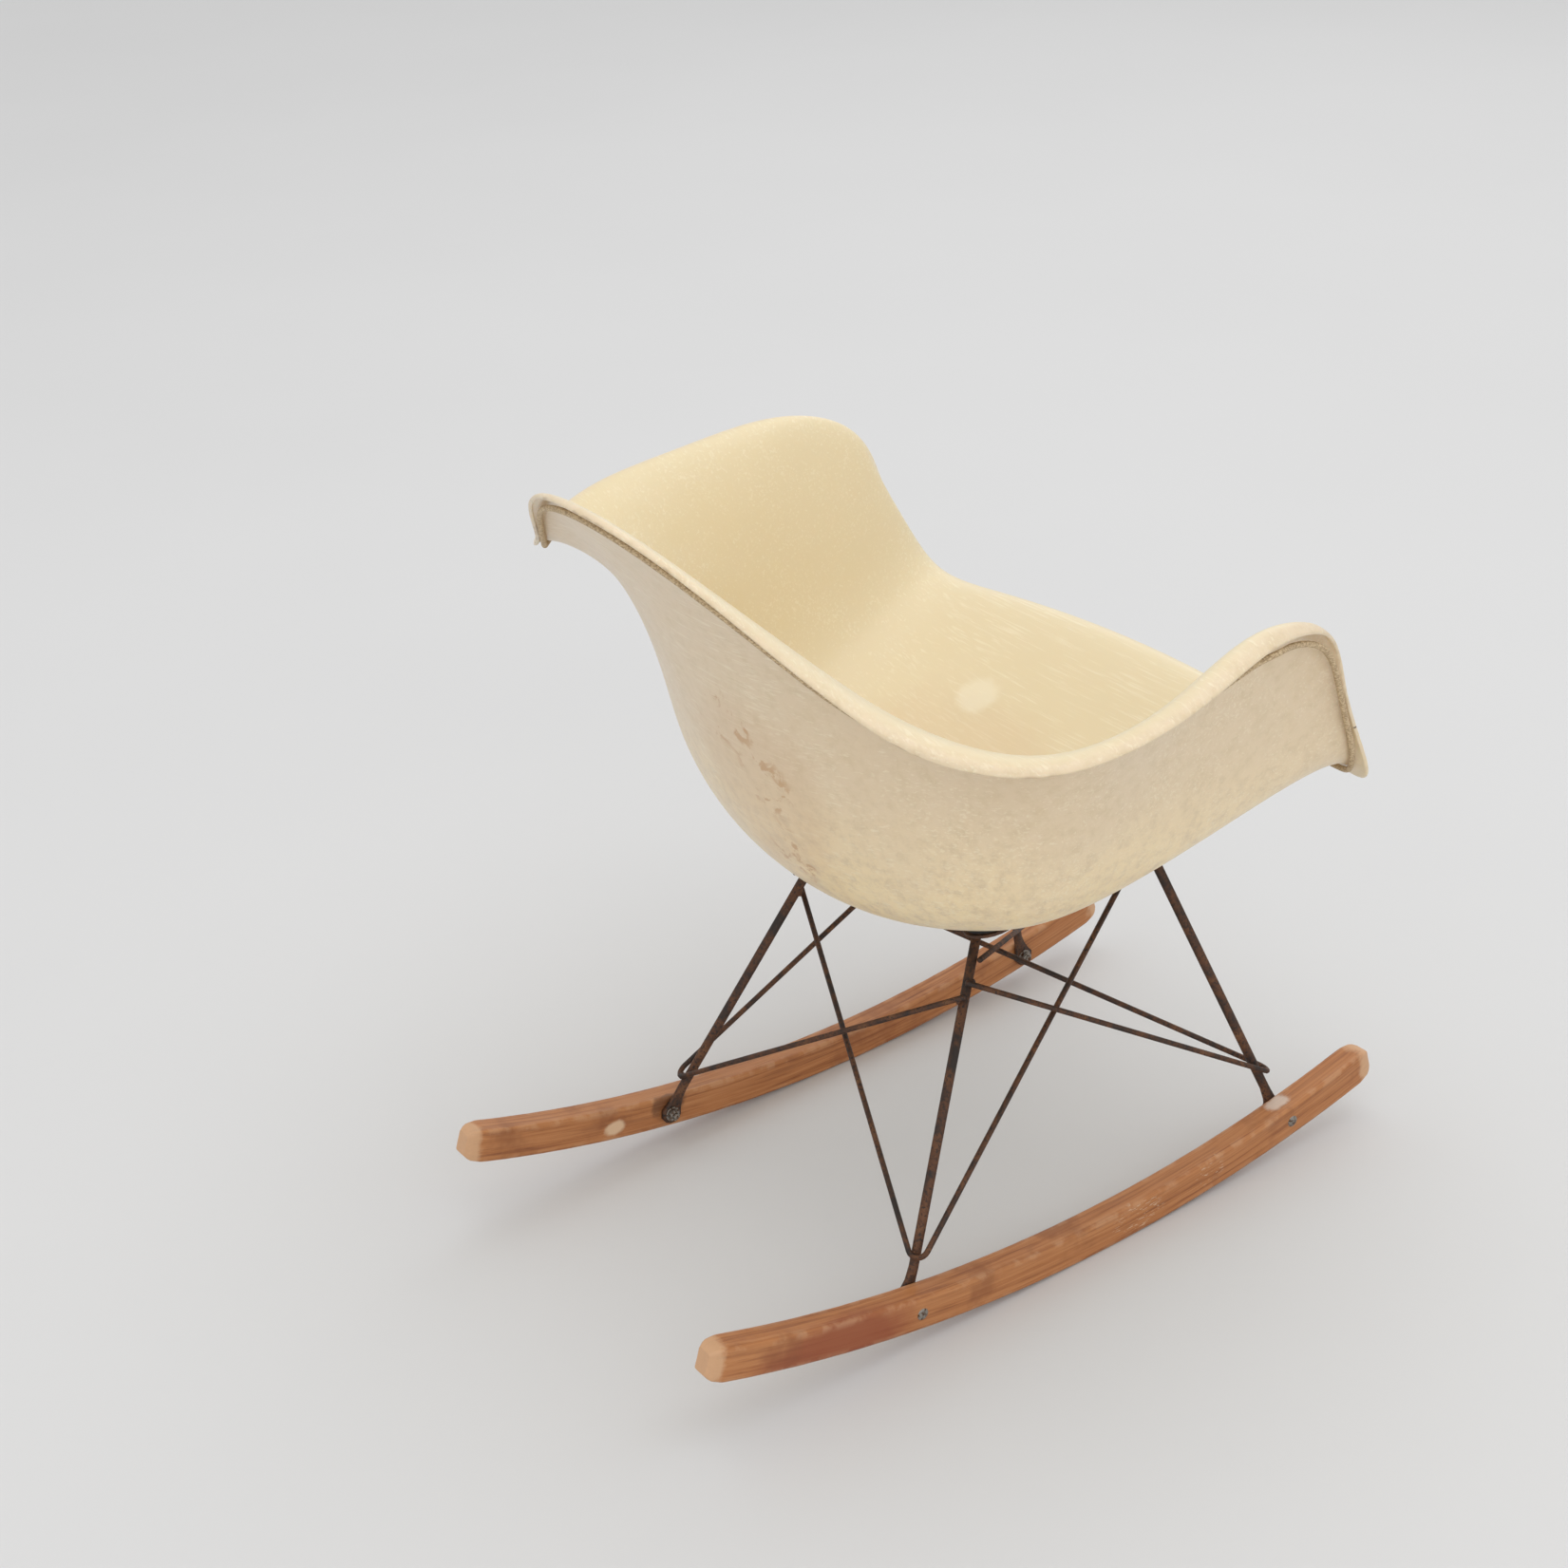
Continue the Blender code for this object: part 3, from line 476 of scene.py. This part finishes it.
@dataclass(frozen=True)
class LaidCord:
    """A brown, resin-soaked cord under the lip."""

    dark: Colour = (0.36, 0.25, 0.14)
    light: Colour = (0.62, 0.48, 0.29)

    def build(self) -> bpy.types.Material:
        """Makes the material."""
        r = Recipe(Slot.CORD.value)
        twist = r.noise(1.0, 3.0, 0.5, 0.3, r.mapped((500.0, 500.0, 900.0), turn=(35, 25, 40)))
        colour = r.mix(r.step(twist, 0.38, 0.62), self.dark, self.light)
        r.bump(twist, 0.4, 0.0004)
        return r.finish(colour, r.math("ADD", 0.6, r.math("MULTIPLY", twist, 0.25)))


@dataclass(frozen=True)
class StudioPaper:
    """The pale floor."""

    tint: Colour = (0.665, 0.665, 0.665)

    def build(self) -> bpy.types.Material:
        """Makes the material."""
        r = Recipe("studio_paper")
        cloud = r.noise(1.4, 3.0)
        darker = tuple(c * 0.96 for c in self.tint)
        return r.finish(r.mix(cloud, self.tint, darker), 0.9)


# ---------------------------------------------------------------- mesh helpers
def node_mesh(name: str) -> bmesh.types.BMesh:
    """A CAD node's shape with its doubles merged and its quads restored.

    Args:
        name: the node's name.

    Returns:
        A new bmesh.
    """
    shape = bmesh.new()
    shape.from_mesh(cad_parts[name].data)
    bmesh.ops.remove_doubles(shape, verts=shape.verts, dist=0.00001)
    bmesh.ops.join_triangles(
        shape, faces=shape.faces, angle_face_threshold=math.radians(35), angle_shape_threshold=math.radians(50),
    )
    return shape


def keep(name: str, shape: bmesh.types.BMesh, replaced: tuple[str, ...]) -> bpy.types.Object:
    """Stores a finished shape as a piece of the chair.

    Args:
        name: the piece's name.
        shape: its shape, which is freed.
        replaced: the CAD nodes that it stands for.

    Returns:
        The piece.
    """
    mesh = bpy.data.meshes.new(name)
    shape.to_mesh(mesh)
    shape.free()
    mesh.shade_smooth()
    return enter(bpy.data.objects.new(name, mesh), replaced)


def enter(piece: bpy.types.Object, replaced: tuple[str, ...]) -> bpy.types.Object:
    """Links a piece into the scene, hides the frame's nodes that it stands for and hangs it under the root."""
    if piece.name not in bpy.context.scene.collection.objects:
        bpy.context.scene.collection.objects.link(piece)
    if replaced:
        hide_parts(*replaced)
    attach(piece, "root")
    return piece


def set_values(mesh: bpy.types.Mesh, name: str, values: list[float]) -> None:
    """Stores one number for each point of a mesh."""
    layer = mesh.attributes.new(name, "FLOAT", "POINT")
    layer.data.foreach_set("value", values)


def dress(piece: bpy.types.Object, material: bpy.types.Material) -> None:
    """Gives a piece one material."""
    piece.data.materials.clear()
    piece.data.materials.append(material)


def settled(piece: bpy.types.Object) -> None:
    """Turns a piece's modifiers into a plain mesh."""
    bpy.context.view_layer.update()
    ready = piece.evaluated_get(bpy.context.evaluated_depsgraph_get())
    mesh = bpy.data.meshes.new_from_object(ready)
    old = piece.data
    piece.modifiers.clear()
    piece.data = mesh
    mesh.name = piece.name
    bpy.data.meshes.remove(old)


class NodeShop:
    """A Geometry Nodes tree under construction."""

    def __init__(self, name: str) -> None:
        """Starts a tree with a geometry input and output.

        Args:
            name: the tree's name.
        """
        self.tree = bpy.data.node_groups.new(name, "GeometryNodeTree")
        self.tree.interface.new_socket("Geometry", in_out="INPUT", socket_type="NodeSocketGeometry")
        self.tree.interface.new_socket("Geometry", in_out="OUTPUT", socket_type="NodeSocketGeometry")
        self.entry = self.tree.nodes.new("NodeGroupInput")
        self.exit = self.tree.nodes.new("NodeGroupOutput")
        self.names: dict[str, str] = {}

    def size(self, name: str, kind: str = "NodeSocketFloat") -> bpy.types.NodeSocket:
        """Adds a named input and returns its socket inside the tree."""
        item = self.tree.interface.new_socket(name, in_out="INPUT", socket_type=kind)
        self.names[name] = item.identifier
        return self.entry.outputs[name]

    def node(self, kind: str, **values: object) -> bpy.types.Node:
        """Adds a node and sets its properties.

        Args:
            kind: the node's type, without its common start.
            values: property values by name.

        Returns:
            The node.
        """
        item = self.tree.nodes.new(kind)
        for key, value in values.items():
            setattr(item, key, value)
        return item

    def join(self, a: bpy.types.NodeSocket, b: bpy.types.NodeSocket) -> None:
        """Links two sockets."""
        self.tree.links.new(a, b)

    def apply(self, piece: bpy.types.Object, values: dict[str, object]) -> None:
        """Runs the tree on a piece and leaves a plain mesh.

        Args:
            piece: the object.
            values: the named inputs' values.
        """
        step = piece.modifiers.new(self.tree.name, "NODES")
        step.node_group = self.tree
        for name, value in values.items():
            step[self.names[name]] = value
        settled(piece)


# ---------------------------------------------------------------- the shell
@dataclass
class SeatShell:
    """The moulded shell, made from the frame's shell with finer faces."""

    node: str = "seat_shell"
    refinement: int = 2
    heart: Point = (0.0, -0.03, 0.60)
    softness: float = 0.35

    def build(self) -> bpy.types.Object:
        """Makes the fine shell and stores how each point lies.

        Returns:
            The shell.
        """
        piece = keep(self.node + "_fine", node_mesh(self.node), (self.node,))
        edge = self.rim_points(piece.data)
        finer = piece.modifiers.new("finer", "SUBSURF")
        finer.levels = self.refinement
        finer.render_levels = self.refinement
        settled(piece)
        mesh = piece.data
        mesh.shade_smooth()
        heart = Vector(self.heart)
        inner: list[float] = []
        rim: list[float] = []
        for point in mesh.vertices:
            inward = point.normal.dot((heart - point.co).normalized())
            inner.append(min(max(0.5 + inward / self.softness / 2, 0.0), 1.0))
            rim.append(edge.find(point.co)[2])
        set_values(mesh, "inner_side", inner)
        set_values(mesh, "rim_distance", rim)
        return piece

    def rim_points(self, mesh: bpy.types.Mesh) -> kdtree.KDTree:
        """Points along the middle of the rim's edge band, found from its sharp corners.

        Args:
            mesh: the coarse shell.

        Returns:
            A tree of the points.
        """
        shape = bmesh.new()
        shape.from_mesh(mesh)
        places: list[Vector] = []
        for edge in shape.edges:
            if len(edge.link_faces) == 2 and edge.calc_face_angle(0.0) > math.radians(60):
                a, b = edge.verts
                places += [a.co.lerp(b.co, t / 3) for t in range(3)]
        shape.free()
        tree = kdtree.KDTree(max(len(places), 1))
        for i, place in enumerate(places):
            tree.insert(place, i)
        tree.balance()
        return tree

    def dress(self, piece: bpy.types.Object) -> None:
        """Finishes the shell."""
        dress(piece, Fibreglass().build())


@dataclass
class RimCord:
    """The cord under the lip."""

    node: str = "rim_cord"

    def build(self) -> bpy.types.Object:
        """Makes the cord rounder than the frame's."""
        piece = keep(self.node + "_fine", node_mesh(self.node), (self.node,))
        finer = piece.modifiers.new("finer", "SUBSURF")
        finer.levels = 1
        finer.render_levels = 1
        settled(piece)
        return piece

    def dress(self, piece: bpy.types.Object) -> None:
        """Finishes the cord."""
        dress(piece, LaidCord().build())


# ---------------------------------------------------------------- the rockers
@dataclass
class Rocker:
    """One bent rocker: a rounded section swept along an arc, with worn tips."""

    side: Side
    radius: float = 1.196
    depth: float = 0.0296
    width: float = 0.0218
    inner: float = 0.1641
    rear_angle: float = 18.7
    front_angle: float = 13.9
    tip: float = 0.0105
    corner: float = 0.0022
    wear: float = 0.0005
    balance: float = 0.04807
    floor_gap: float = 0.0004
    steps: int = 230

    def path(self) -> bpy.types.Object:
        """The rocker's centre line as a mesh of edges, from rear to front."""
        sign = 1 if self.side is Side.LEFT else -1
        x = sign * (self.inner + self.width / 2)
        middle = self.radius - self.depth / 2 - self.floor_gap
        rear = math.radians(self.rear_angle) + self.tip / self.radius
        front = math.radians(self.front_angle) + self.tip / self.radius
        points = []
        for i in range(self.steps + 1):
            a = -rear + (rear + front) * i / self.steps
            points.append((x, -(middle * math.sin(a) + self.balance), self.radius - middle * math.cos(a)))
        mesh = bpy.data.meshes.new("rocker_path")
        mesh.from_pydata(points, [(i, i + 1) for i in range(self.steps)], [])
        return bpy.data.objects.new(f"rocker_{self.side.value}_fine", mesh)

    @staticmethod
    def tree() -> NodeShop:
        """Builds the sweep: section, taper at the tips, caps and slight wear.

        Returns:
            The tree.
        """
        shop = NodeShop("bent_rocker")
        width = shop.size("Width")
        depth = shop.size("Depth")
        corner = shop.size("Corner")
        wear = shop.size("Wear")
        material = shop.size("Material", "NodeSocketMaterial")
        curve = shop.node("GeometryNodeMeshToCurve")
        shop.join(shop.entry.outputs["Geometry"], curve.inputs[0])
        upright = shop.node("GeometryNodeSetCurveNormal")
        upright.mode = "Z_UP"
        shop.join(curve.outputs[0], upright.inputs["Curve"])
        along = shop.node("GeometryNodeSplineParameter")
        taper = shop.node("ShaderNodeFloatCurve")
        points = taper.mapping.curves[0].points
        for place, value in ((0.006, 0.86), (0.022, 1.0), (0.978, 1.0), (0.994, 0.86)):
            points.new(place, value)
        points[0].location = (0.0, 0.60)
        points[-1].location = (1.0, 0.60)
        for point in points:
            point.handle_type = "VECTOR"
        taper.mapping.update()
        shop.join(along.outputs["Factor"], taper.inputs["Value"])
        outline = shop.node("GeometryNodeCurvePrimitiveQuadrilateral")
        shop.join(width, outline.inputs["Width"])
        shop.join(depth, outline.inputs["Height"])
        rounded = shop.node("GeometryNodeFilletCurve")
        shop.join(outline.outputs[0], rounded.inputs["Curve"])
        if "Mode" in rounded.inputs:
            rounded.inputs["Mode"].default_value = "Poly"
        else:
            rounded.mode = "POLY"
        rounded.inputs["Count"].default_value = 4
        shop.join(corner, rounded.inputs["Radius"])
        even = shop.node("GeometryNodeResampleCurve")
        shop.join(rounded.outputs[0], even.inputs["Curve"])
        even.inputs["Count"].default_value = 56
        sweep = shop.node("GeometryNodeCurveToMesh")
        shop.join(upright.outputs[0], sweep.inputs["Curve"])
        shop.join(even.outputs[0], sweep.inputs["Profile Curve"])
        sweep.inputs["Fill Caps"].default_value = True
        if "Scale" in sweep.inputs:
            shop.join(taper.outputs[0], sweep.inputs["Scale"])
        else:
            size = shop.node("GeometryNodeSetCurveRadius")
            shop.join(upright.outputs[0], size.inputs["Curve"])
            shop.join(taper.outputs[0], size.inputs["Radius"])
            shop.join(size.outputs[0], sweep.inputs["Curve"])
        rough = shop.node("ShaderNodeTexNoise")
        rough.inputs["Scale"].default_value = 70.0
        rough.inputs["Detail"].default_value = 4.0
        centred = shop.node("ShaderNodeMath", operation="SUBTRACT")
        shop.join(rough.outputs[0], centred.inputs[0])
        centred.inputs[1].default_value = 0.75
        amount = shop.node("ShaderNodeMath", operation="MULTIPLY")
        shop.join(centred.outputs[0], amount.inputs[0])
        shop.join(wear, amount.inputs[1])
        push = shop.node("ShaderNodeVectorMath", operation="SCALE")
        outward = shop.node("GeometryNodeInputNormal")
        shop.join(outward.outputs[0], push.inputs[0])
        shop.join(amount.outputs[0], push.inputs["Scale"])
        worn = shop.node("GeometryNodeSetPosition")
        shop.join(sweep.outputs[0], worn.inputs["Geometry"])
        shop.join(push.outputs[0], worn.inputs["Offset"])
        real = shop.node("GeometryNodeRealizeInstances")
        shop.join(worn.outputs[0], real.inputs[0])
        coat = shop.node("GeometryNodeSetMaterial")
        shop.join(real.outputs[0], coat.inputs["Geometry"])
        shop.join(material, coat.inputs["Material"])
        shop.join(coat.outputs[0], shop.exit.inputs[0])
        return shop

    def build(self, shop: NodeShop, wood: bpy.types.Material) -> bpy.types.Object:
        """Sweeps the rocker and stores how each point lies along it.

        Args:
            shop: the sweep's tree.
            wood: the rocker's material.

        Returns:
            The rocker.
        """
        piece = self.path()
        bpy.context.scene.collection.objects.link(piece)
        sizes = {"Width": self.width, "Depth": self.depth, "Corner": self.corner, "Wear": self.wear}
        shop.apply(piece, {**sizes, "Material": wood})
        self.close(piece)
        self.measure(piece.data)
        piece.data.shade_smooth()
        return enter(piece, (f"rocker_{self.side.value}",))

    def close(self, piece: bpy.types.Object) -> None:
        """Merges the caps, points the faces out and keeps every point just above the floor."""
        shape = bmesh.new()
        shape.from_mesh(piece.data)
        bmesh.ops.remove_doubles(shape, verts=shape.verts, dist=0.00001)
        bmesh.ops.recalc_face_normals(shape, faces=shape.faces)
        for point in shape.verts:
            point.co.z = max(point.co.z, 0.0002)
        shape.to_mesh(piece.data)
        shape.free()

    def measure(self, mesh: bpy.types.Mesh) -> None:
        """Stores place along the arc, height in the section, nearness to an edge and to a tip."""
        along: list[float] = []
        height: list[float] = []
        edge: list[float] = []
        tip: list[float] = []
        sign = 1 if self.side is Side.LEFT else -1
        rear = math.radians(self.rear_angle) * self.radius + self.tip
        front = math.radians(self.front_angle) * self.radius + self.tip
        for point in mesh.vertices:
            forward = -point.co.y - self.balance
            rise = self.radius - point.co.z
            arc = math.atan2(forward, rise) * self.radius
            up = self.radius - math.hypot(forward, rise)
            side = abs(sign * point.co.x - self.inner - self.width / 2) - self.width / 2
            reach = abs(up - self.depth / 2) - self.depth / 2
            along.append(arc)
            height.append(up)
            edge.append(min(max(1 + (side + reach) / 0.006, 0.0), 1.0))
            tip.append(min(max(1 - min(arc + rear, front - arc) / 0.030, 0.0), 1.0))
        for name, values in (("along", along), ("depthwise", height), ("edge", edge), ("tip", tip)):
            set_values(mesh, name, values)


# ---------------------------------------------------------------- the wire base
@dataclass
class WireBase:
    """Legs, braces and spreaders, shaded smoother than the frame's, with a weld at each crossing."""

    bead_radius: float = 0.0030
    beads_each: int = 5
    seed: int = 7
    weld_reach: float = 0.0018

    def names(self) -> list[str]:
        """The frame's wire nodes."""
        stems = [f"{stem}_{place_name(end, side)}" for stem in ("leg", "brace") for end, side in PLACES]
        return stems + ["spreader_front", "spreader_rear"]

    def build(self, wire: bpy.types.Material) -> list[bpy.types.Object]:
        """Makes every wire and its welds.

        Args:
            wire: the base's material.

        Returns:
            The pieces.
        """
        pieces = []
        for name in self.names():
            piece = keep(name + "_fine", node_mesh(name), (name,))
            piece.data.set_sharp_from_angle(angle=math.radians(50))
            dress(piece, wire)
            pieces.append(piece)
        pieces.append(self.welds(wire))
        return pieces

    def crossings(self) -> list[Vector]:
        """Where each brace or spreader meets a leg.

        Returns:
            The places, one for each meeting.
        """
        meshes = {n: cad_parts[n].data for n in self.names()}
        trees = {}
        for name, mesh in meshes.items():
            if name.startswith("leg"):
                corners = [v.co for v in mesh.vertices]
                trees[name] = BVHTree.FromPolygons(corners, [tuple(p.vertices) for p in mesh.polygons])
        found: list[Vector] = []
        for name, mesh in meshes.items():
            if name.startswith("leg"):
                continue
            for tree in trees.values():
                best = (self.weld_reach, None)
                for polygon in mesh.polygons:
                    for a, b in polygon.edge_keys:
                        start, end = mesh.vertices[a].co, mesh.vertices[b].co
                        for i in range(41):
                            p = start.lerp(end, i / 40)
                            near = tree.find_nearest(p, best[0])
                            if near[0] is not None and near[3] < best[0]:
                                best = (near[3], (p + near[0]) / 2)
                if best[1] is not None:
                    found.append(best[1].copy())
        return found

    def welds(self, wire: bpy.types.Material) -> bpy.types.Object:
        """Clusters of small uneven beads at the crossings.

        Args:
            wire: the base's material.

        Returns:
            One piece with every weld.
        """
        mesh = bpy.data.meshes.new("weld_places")
        places = self.crossings()
        mesh.from_pydata([tuple(p) for p in places], [], [])
        piece = bpy.data.objects.new("weld_beads", mesh)
        bpy.context.scene.collection.objects.link(piece)
        log.info("weld beads at %d crossings", len(places))
        shop = self.bead_tree()
        values = {"Bead radius": self.bead_radius, "Beads": self.beads_each, "Seed": self.seed, "Material": wire}
        shop.apply(piece, values)
        piece.data.shade_smooth()
        return enter(piece, ())

    @staticmethod
    def bead_tree() -> NodeShop:
        """Builds the tree that sets uneven beads around each place.

        Returns:
            The tree.
        """
        shop = NodeShop("weld_beads")
        radius = shop.size("Bead radius")
        count = shop.size("Beads", "NodeSocketInt")
        seed = shop.size("Seed", "NodeSocketInt")
        material = shop.size("Material", "NodeSocketMaterial")
        copies = shop.node("GeometryNodeDuplicateElements", domain="POINT")
        dots = shop.node("GeometryNodeMeshToPoints")
        shop.join(shop.entry.outputs["Geometry"], dots.inputs["Mesh"])
        shop.join(dots.outputs[0], copies.inputs["Geometry"])
        shop.join(count, copies.inputs["Amount"])
        spread = shop.node("FunctionNodeRandomValue", data_type="FLOAT_VECTOR")
        spread.inputs[0].default_value = (-1.0, -1.0, -1.0)
        spread.inputs[1].default_value = (1.0, 1.0, 1.0)
        shop.join(seed, spread.inputs["Seed"])
        reach = shop.node("ShaderNodeVectorMath", operation="SCALE")
        shop.join(spread.outputs[0], reach.inputs[0])
        half = shop.node("ShaderNodeMath", operation="MULTIPLY")
        shop.join(radius, half.inputs[0])
        half.inputs[1].default_value = 0.5
        shop.join(half.outputs[0], reach.inputs["Scale"])
        moved = shop.node("GeometryNodeSetPosition")
        shop.join(copies.outputs[0], moved.inputs["Geometry"])
        shop.join(reach.outputs[0], moved.inputs["Offset"])
        ball = shop.node("GeometryNodeMeshIcoSphere")
        ball.inputs["Subdivisions"].default_value = 2
        shop.join(radius, ball.inputs["Radius"])
        size = shop.node("FunctionNodeRandomValue", data_type="FLOAT_VECTOR")
        size.inputs[0].default_value = (0.45, 0.45, 0.45)
        size.inputs[1].default_value = (0.95, 0.95, 0.95)
        shop.join(seed, size.inputs["Seed"])
        beads = shop.node("GeometryNodeInstanceOnPoints")
        shop.join(moved.outputs[0], beads.inputs["Points"])
        shop.join(ball.outputs[0], beads.inputs["Instance"])
        shop.join(size.outputs[0], beads.inputs["Scale"])
        real = shop.node("GeometryNodeRealizeInstances")
        shop.join(beads.outputs[0], real.inputs[0])
        coat = shop.node("GeometryNodeSetMaterial")
        shop.join(real.outputs[0], coat.inputs["Geometry"])
        shop.join(material, coat.inputs["Material"])
        shop.join(coat.outputs[0], shop.exit.inputs[0])
        return shop


# ---------------------------------------------------------------- mounts and fasteners
@dataclass
class SmallParts:
    """Mounts under the seat and the fasteners, carried over from the frame with softened edges."""

    bevel: float = 0.0003

    def stems(self) -> dict[str, Slot]:
        """Each kind of small piece and its slot."""
        return {
            "shock_mount": Slot.RUBBER, "mount_plate": Slot.WIRE, "mount_washer": Slot.STEEL,
            "mount_screw": Slot.STEEL, "rocker_bolt": Slot.STEEL, "rocker_washer": Slot.STEEL,
            "rocker_nut": Slot.STEEL,
        }

    def build(self, finishes: dict[Slot, bpy.types.Material]) -> int:
        """Makes every small piece.

        Args:
            finishes: a material for each slot.

        Returns:
            How many pieces there are.
        """
        made = 0
        for stem, slot in self.stems().items():
            for end, side in PLACES:
                name = f"{stem}_{place_name(end, side)}"
                piece = keep(name + "_fine", node_mesh(name), (name,))
                piece.data.set_sharp_from_angle(angle=math.radians(40))
                soften = piece.modifiers.new("soften", "BEVEL")
                soften.width = self.bevel
                soften.segments = 2
                soften.limit_method = "ANGLE"
                soften.angle_limit = math.radians(50)
                settled(piece)
                dress(piece, finishes[slot])
                made += 1
        return made


# ---------------------------------------------------------------- the studio
@dataclass
class Studio:
    """Floor, soft lights and the camera."""

    eye: Point = (-1.46705, 1.12071, 1.34086)
    yaw: float = 0.972605
    pitch: float = 0.484439
    roll: float = -0.0563054
    focal: float = 2800 * 36 / 1651
    floor_size: float = 40.0

    def floor(self) -> None:
        """Lays the pale floor."""
        shape = bmesh.new()
        bmesh.ops.create_grid(shape, x_segments=1, y_segments=1, size=self.floor_size / 2)
        mesh = bpy.data.meshes.new("floor")
        shape.to_mesh(mesh)
        shape.free()
        piece = bpy.data.objects.new("floor", mesh)
        bpy.context.scene.collection.objects.link(piece)
        dress(piece, StudioPaper().build())

    def light(self, name: str, place: Point, size: float, power: float, aim: Point = (0.0, 0.0, 0.35)) -> None:
        """Hangs one soft square light.

        Args:
            name: its name.
            place: where it hangs.
            size: its width.
            power: its watts.
            aim: what it points at.
        """
        data = bpy.data.lights.new(name, "AREA")
        data.size = size
        data.energy = power
        lamp = bpy.data.objects.new(name, data)
        bpy.context.scene.collection.objects.link(lamp)
        lamp.location = place
        lamp.rotation_euler = (Vector(aim) - Vector(place)).to_track_quat("-Z", "Y").to_euler()

    def lights(self) -> None:
        """Sets the soft overhead light, the fill and the even surround."""
        self.light("overhead", (-0.2, -0.4, 4.2), 4.5, 52.0)
        self.light("rear_side", (-3.4, 1.8, 1.6), 3.0, 26.0)
        self.light("front_side", (2.2, -3.2, 2.6), 2.6, 10.0)
        world = bpy.data.worlds.new("studio_air")
        world.use_nodes = True
        air = world.node_tree.nodes["Background"]
        air.inputs["Color"].default_value = (1.0, 1.0, 1.0, 1.0)
        air.inputs["Strength"].default_value = 0.86
        bpy.context.scene.world = world

    def camera(self) -> None:
        """Stands the camera."""
        look = Vector((
            math.sin(self.yaw) * math.cos(self.pitch), -math.cos(self.yaw) * math.cos(self.pitch),
            -math.sin(self.pitch),
        ))
        level = look.cross(Vector((0, 0, 1))).normalized()
        rise = level.cross(look)
        right = level * math.cos(self.roll) + rise * math.sin(self.roll)
        up = rise * math.cos(self.roll) - level * math.sin(self.roll)
        data = bpy.data.cameras.new("camera")
        data.lens = self.focal
        data.sensor_width = 36
        data.clip_start = 0.05
        item = bpy.data.objects.new("camera", data)
        bpy.context.scene.collection.objects.link(item)
        turn = Matrix((right, up, -look)).transposed().to_4x4()
        item.matrix_world = Matrix.Translation(self.eye) @ turn
        bpy.context.scene.camera = item

    def build(self) -> None:
        """Sets up the whole studio."""
        self.floor()
        self.lights()
        self.camera()
        bpy.context.scene.view_settings.view_transform = "Standard"


def main() -> None:
    """Builds the chair and its studio, in order."""
    logging.basicConfig(level=logging.INFO, format="%(name)s: %(message)s")
    shell = SeatShell()
    seat = shell.build()
    shell.dress(seat)
    log.info("seat shell: %d faces", len(seat.data.polygons))
    cord = RimCord()
    cord.dress(cord.build())
    log.info("cord laid under the lip")
    sweep = Rocker.tree()
    wood = StainedWood().build()
    for side in Side:
        rocker = Rocker(side).build(sweep, wood)
        log.info("%s rocker: %d faces", side.value, len(rocker.data.polygons))
    wire = RustedWire().build()
    base = WireBase().build(wire)
    log.info("wire base: %d pieces", len(base))
    finishes = {Slot.WIRE: wire, Slot.STEEL: DullSteel().build(), Slot.RUBBER: BlackRubber().build()}
    log.info("small parts: %d pieces", SmallParts().build(finishes))
    Studio().build()
    log.info("studio ready")


if __name__ == "__main__":
    main()
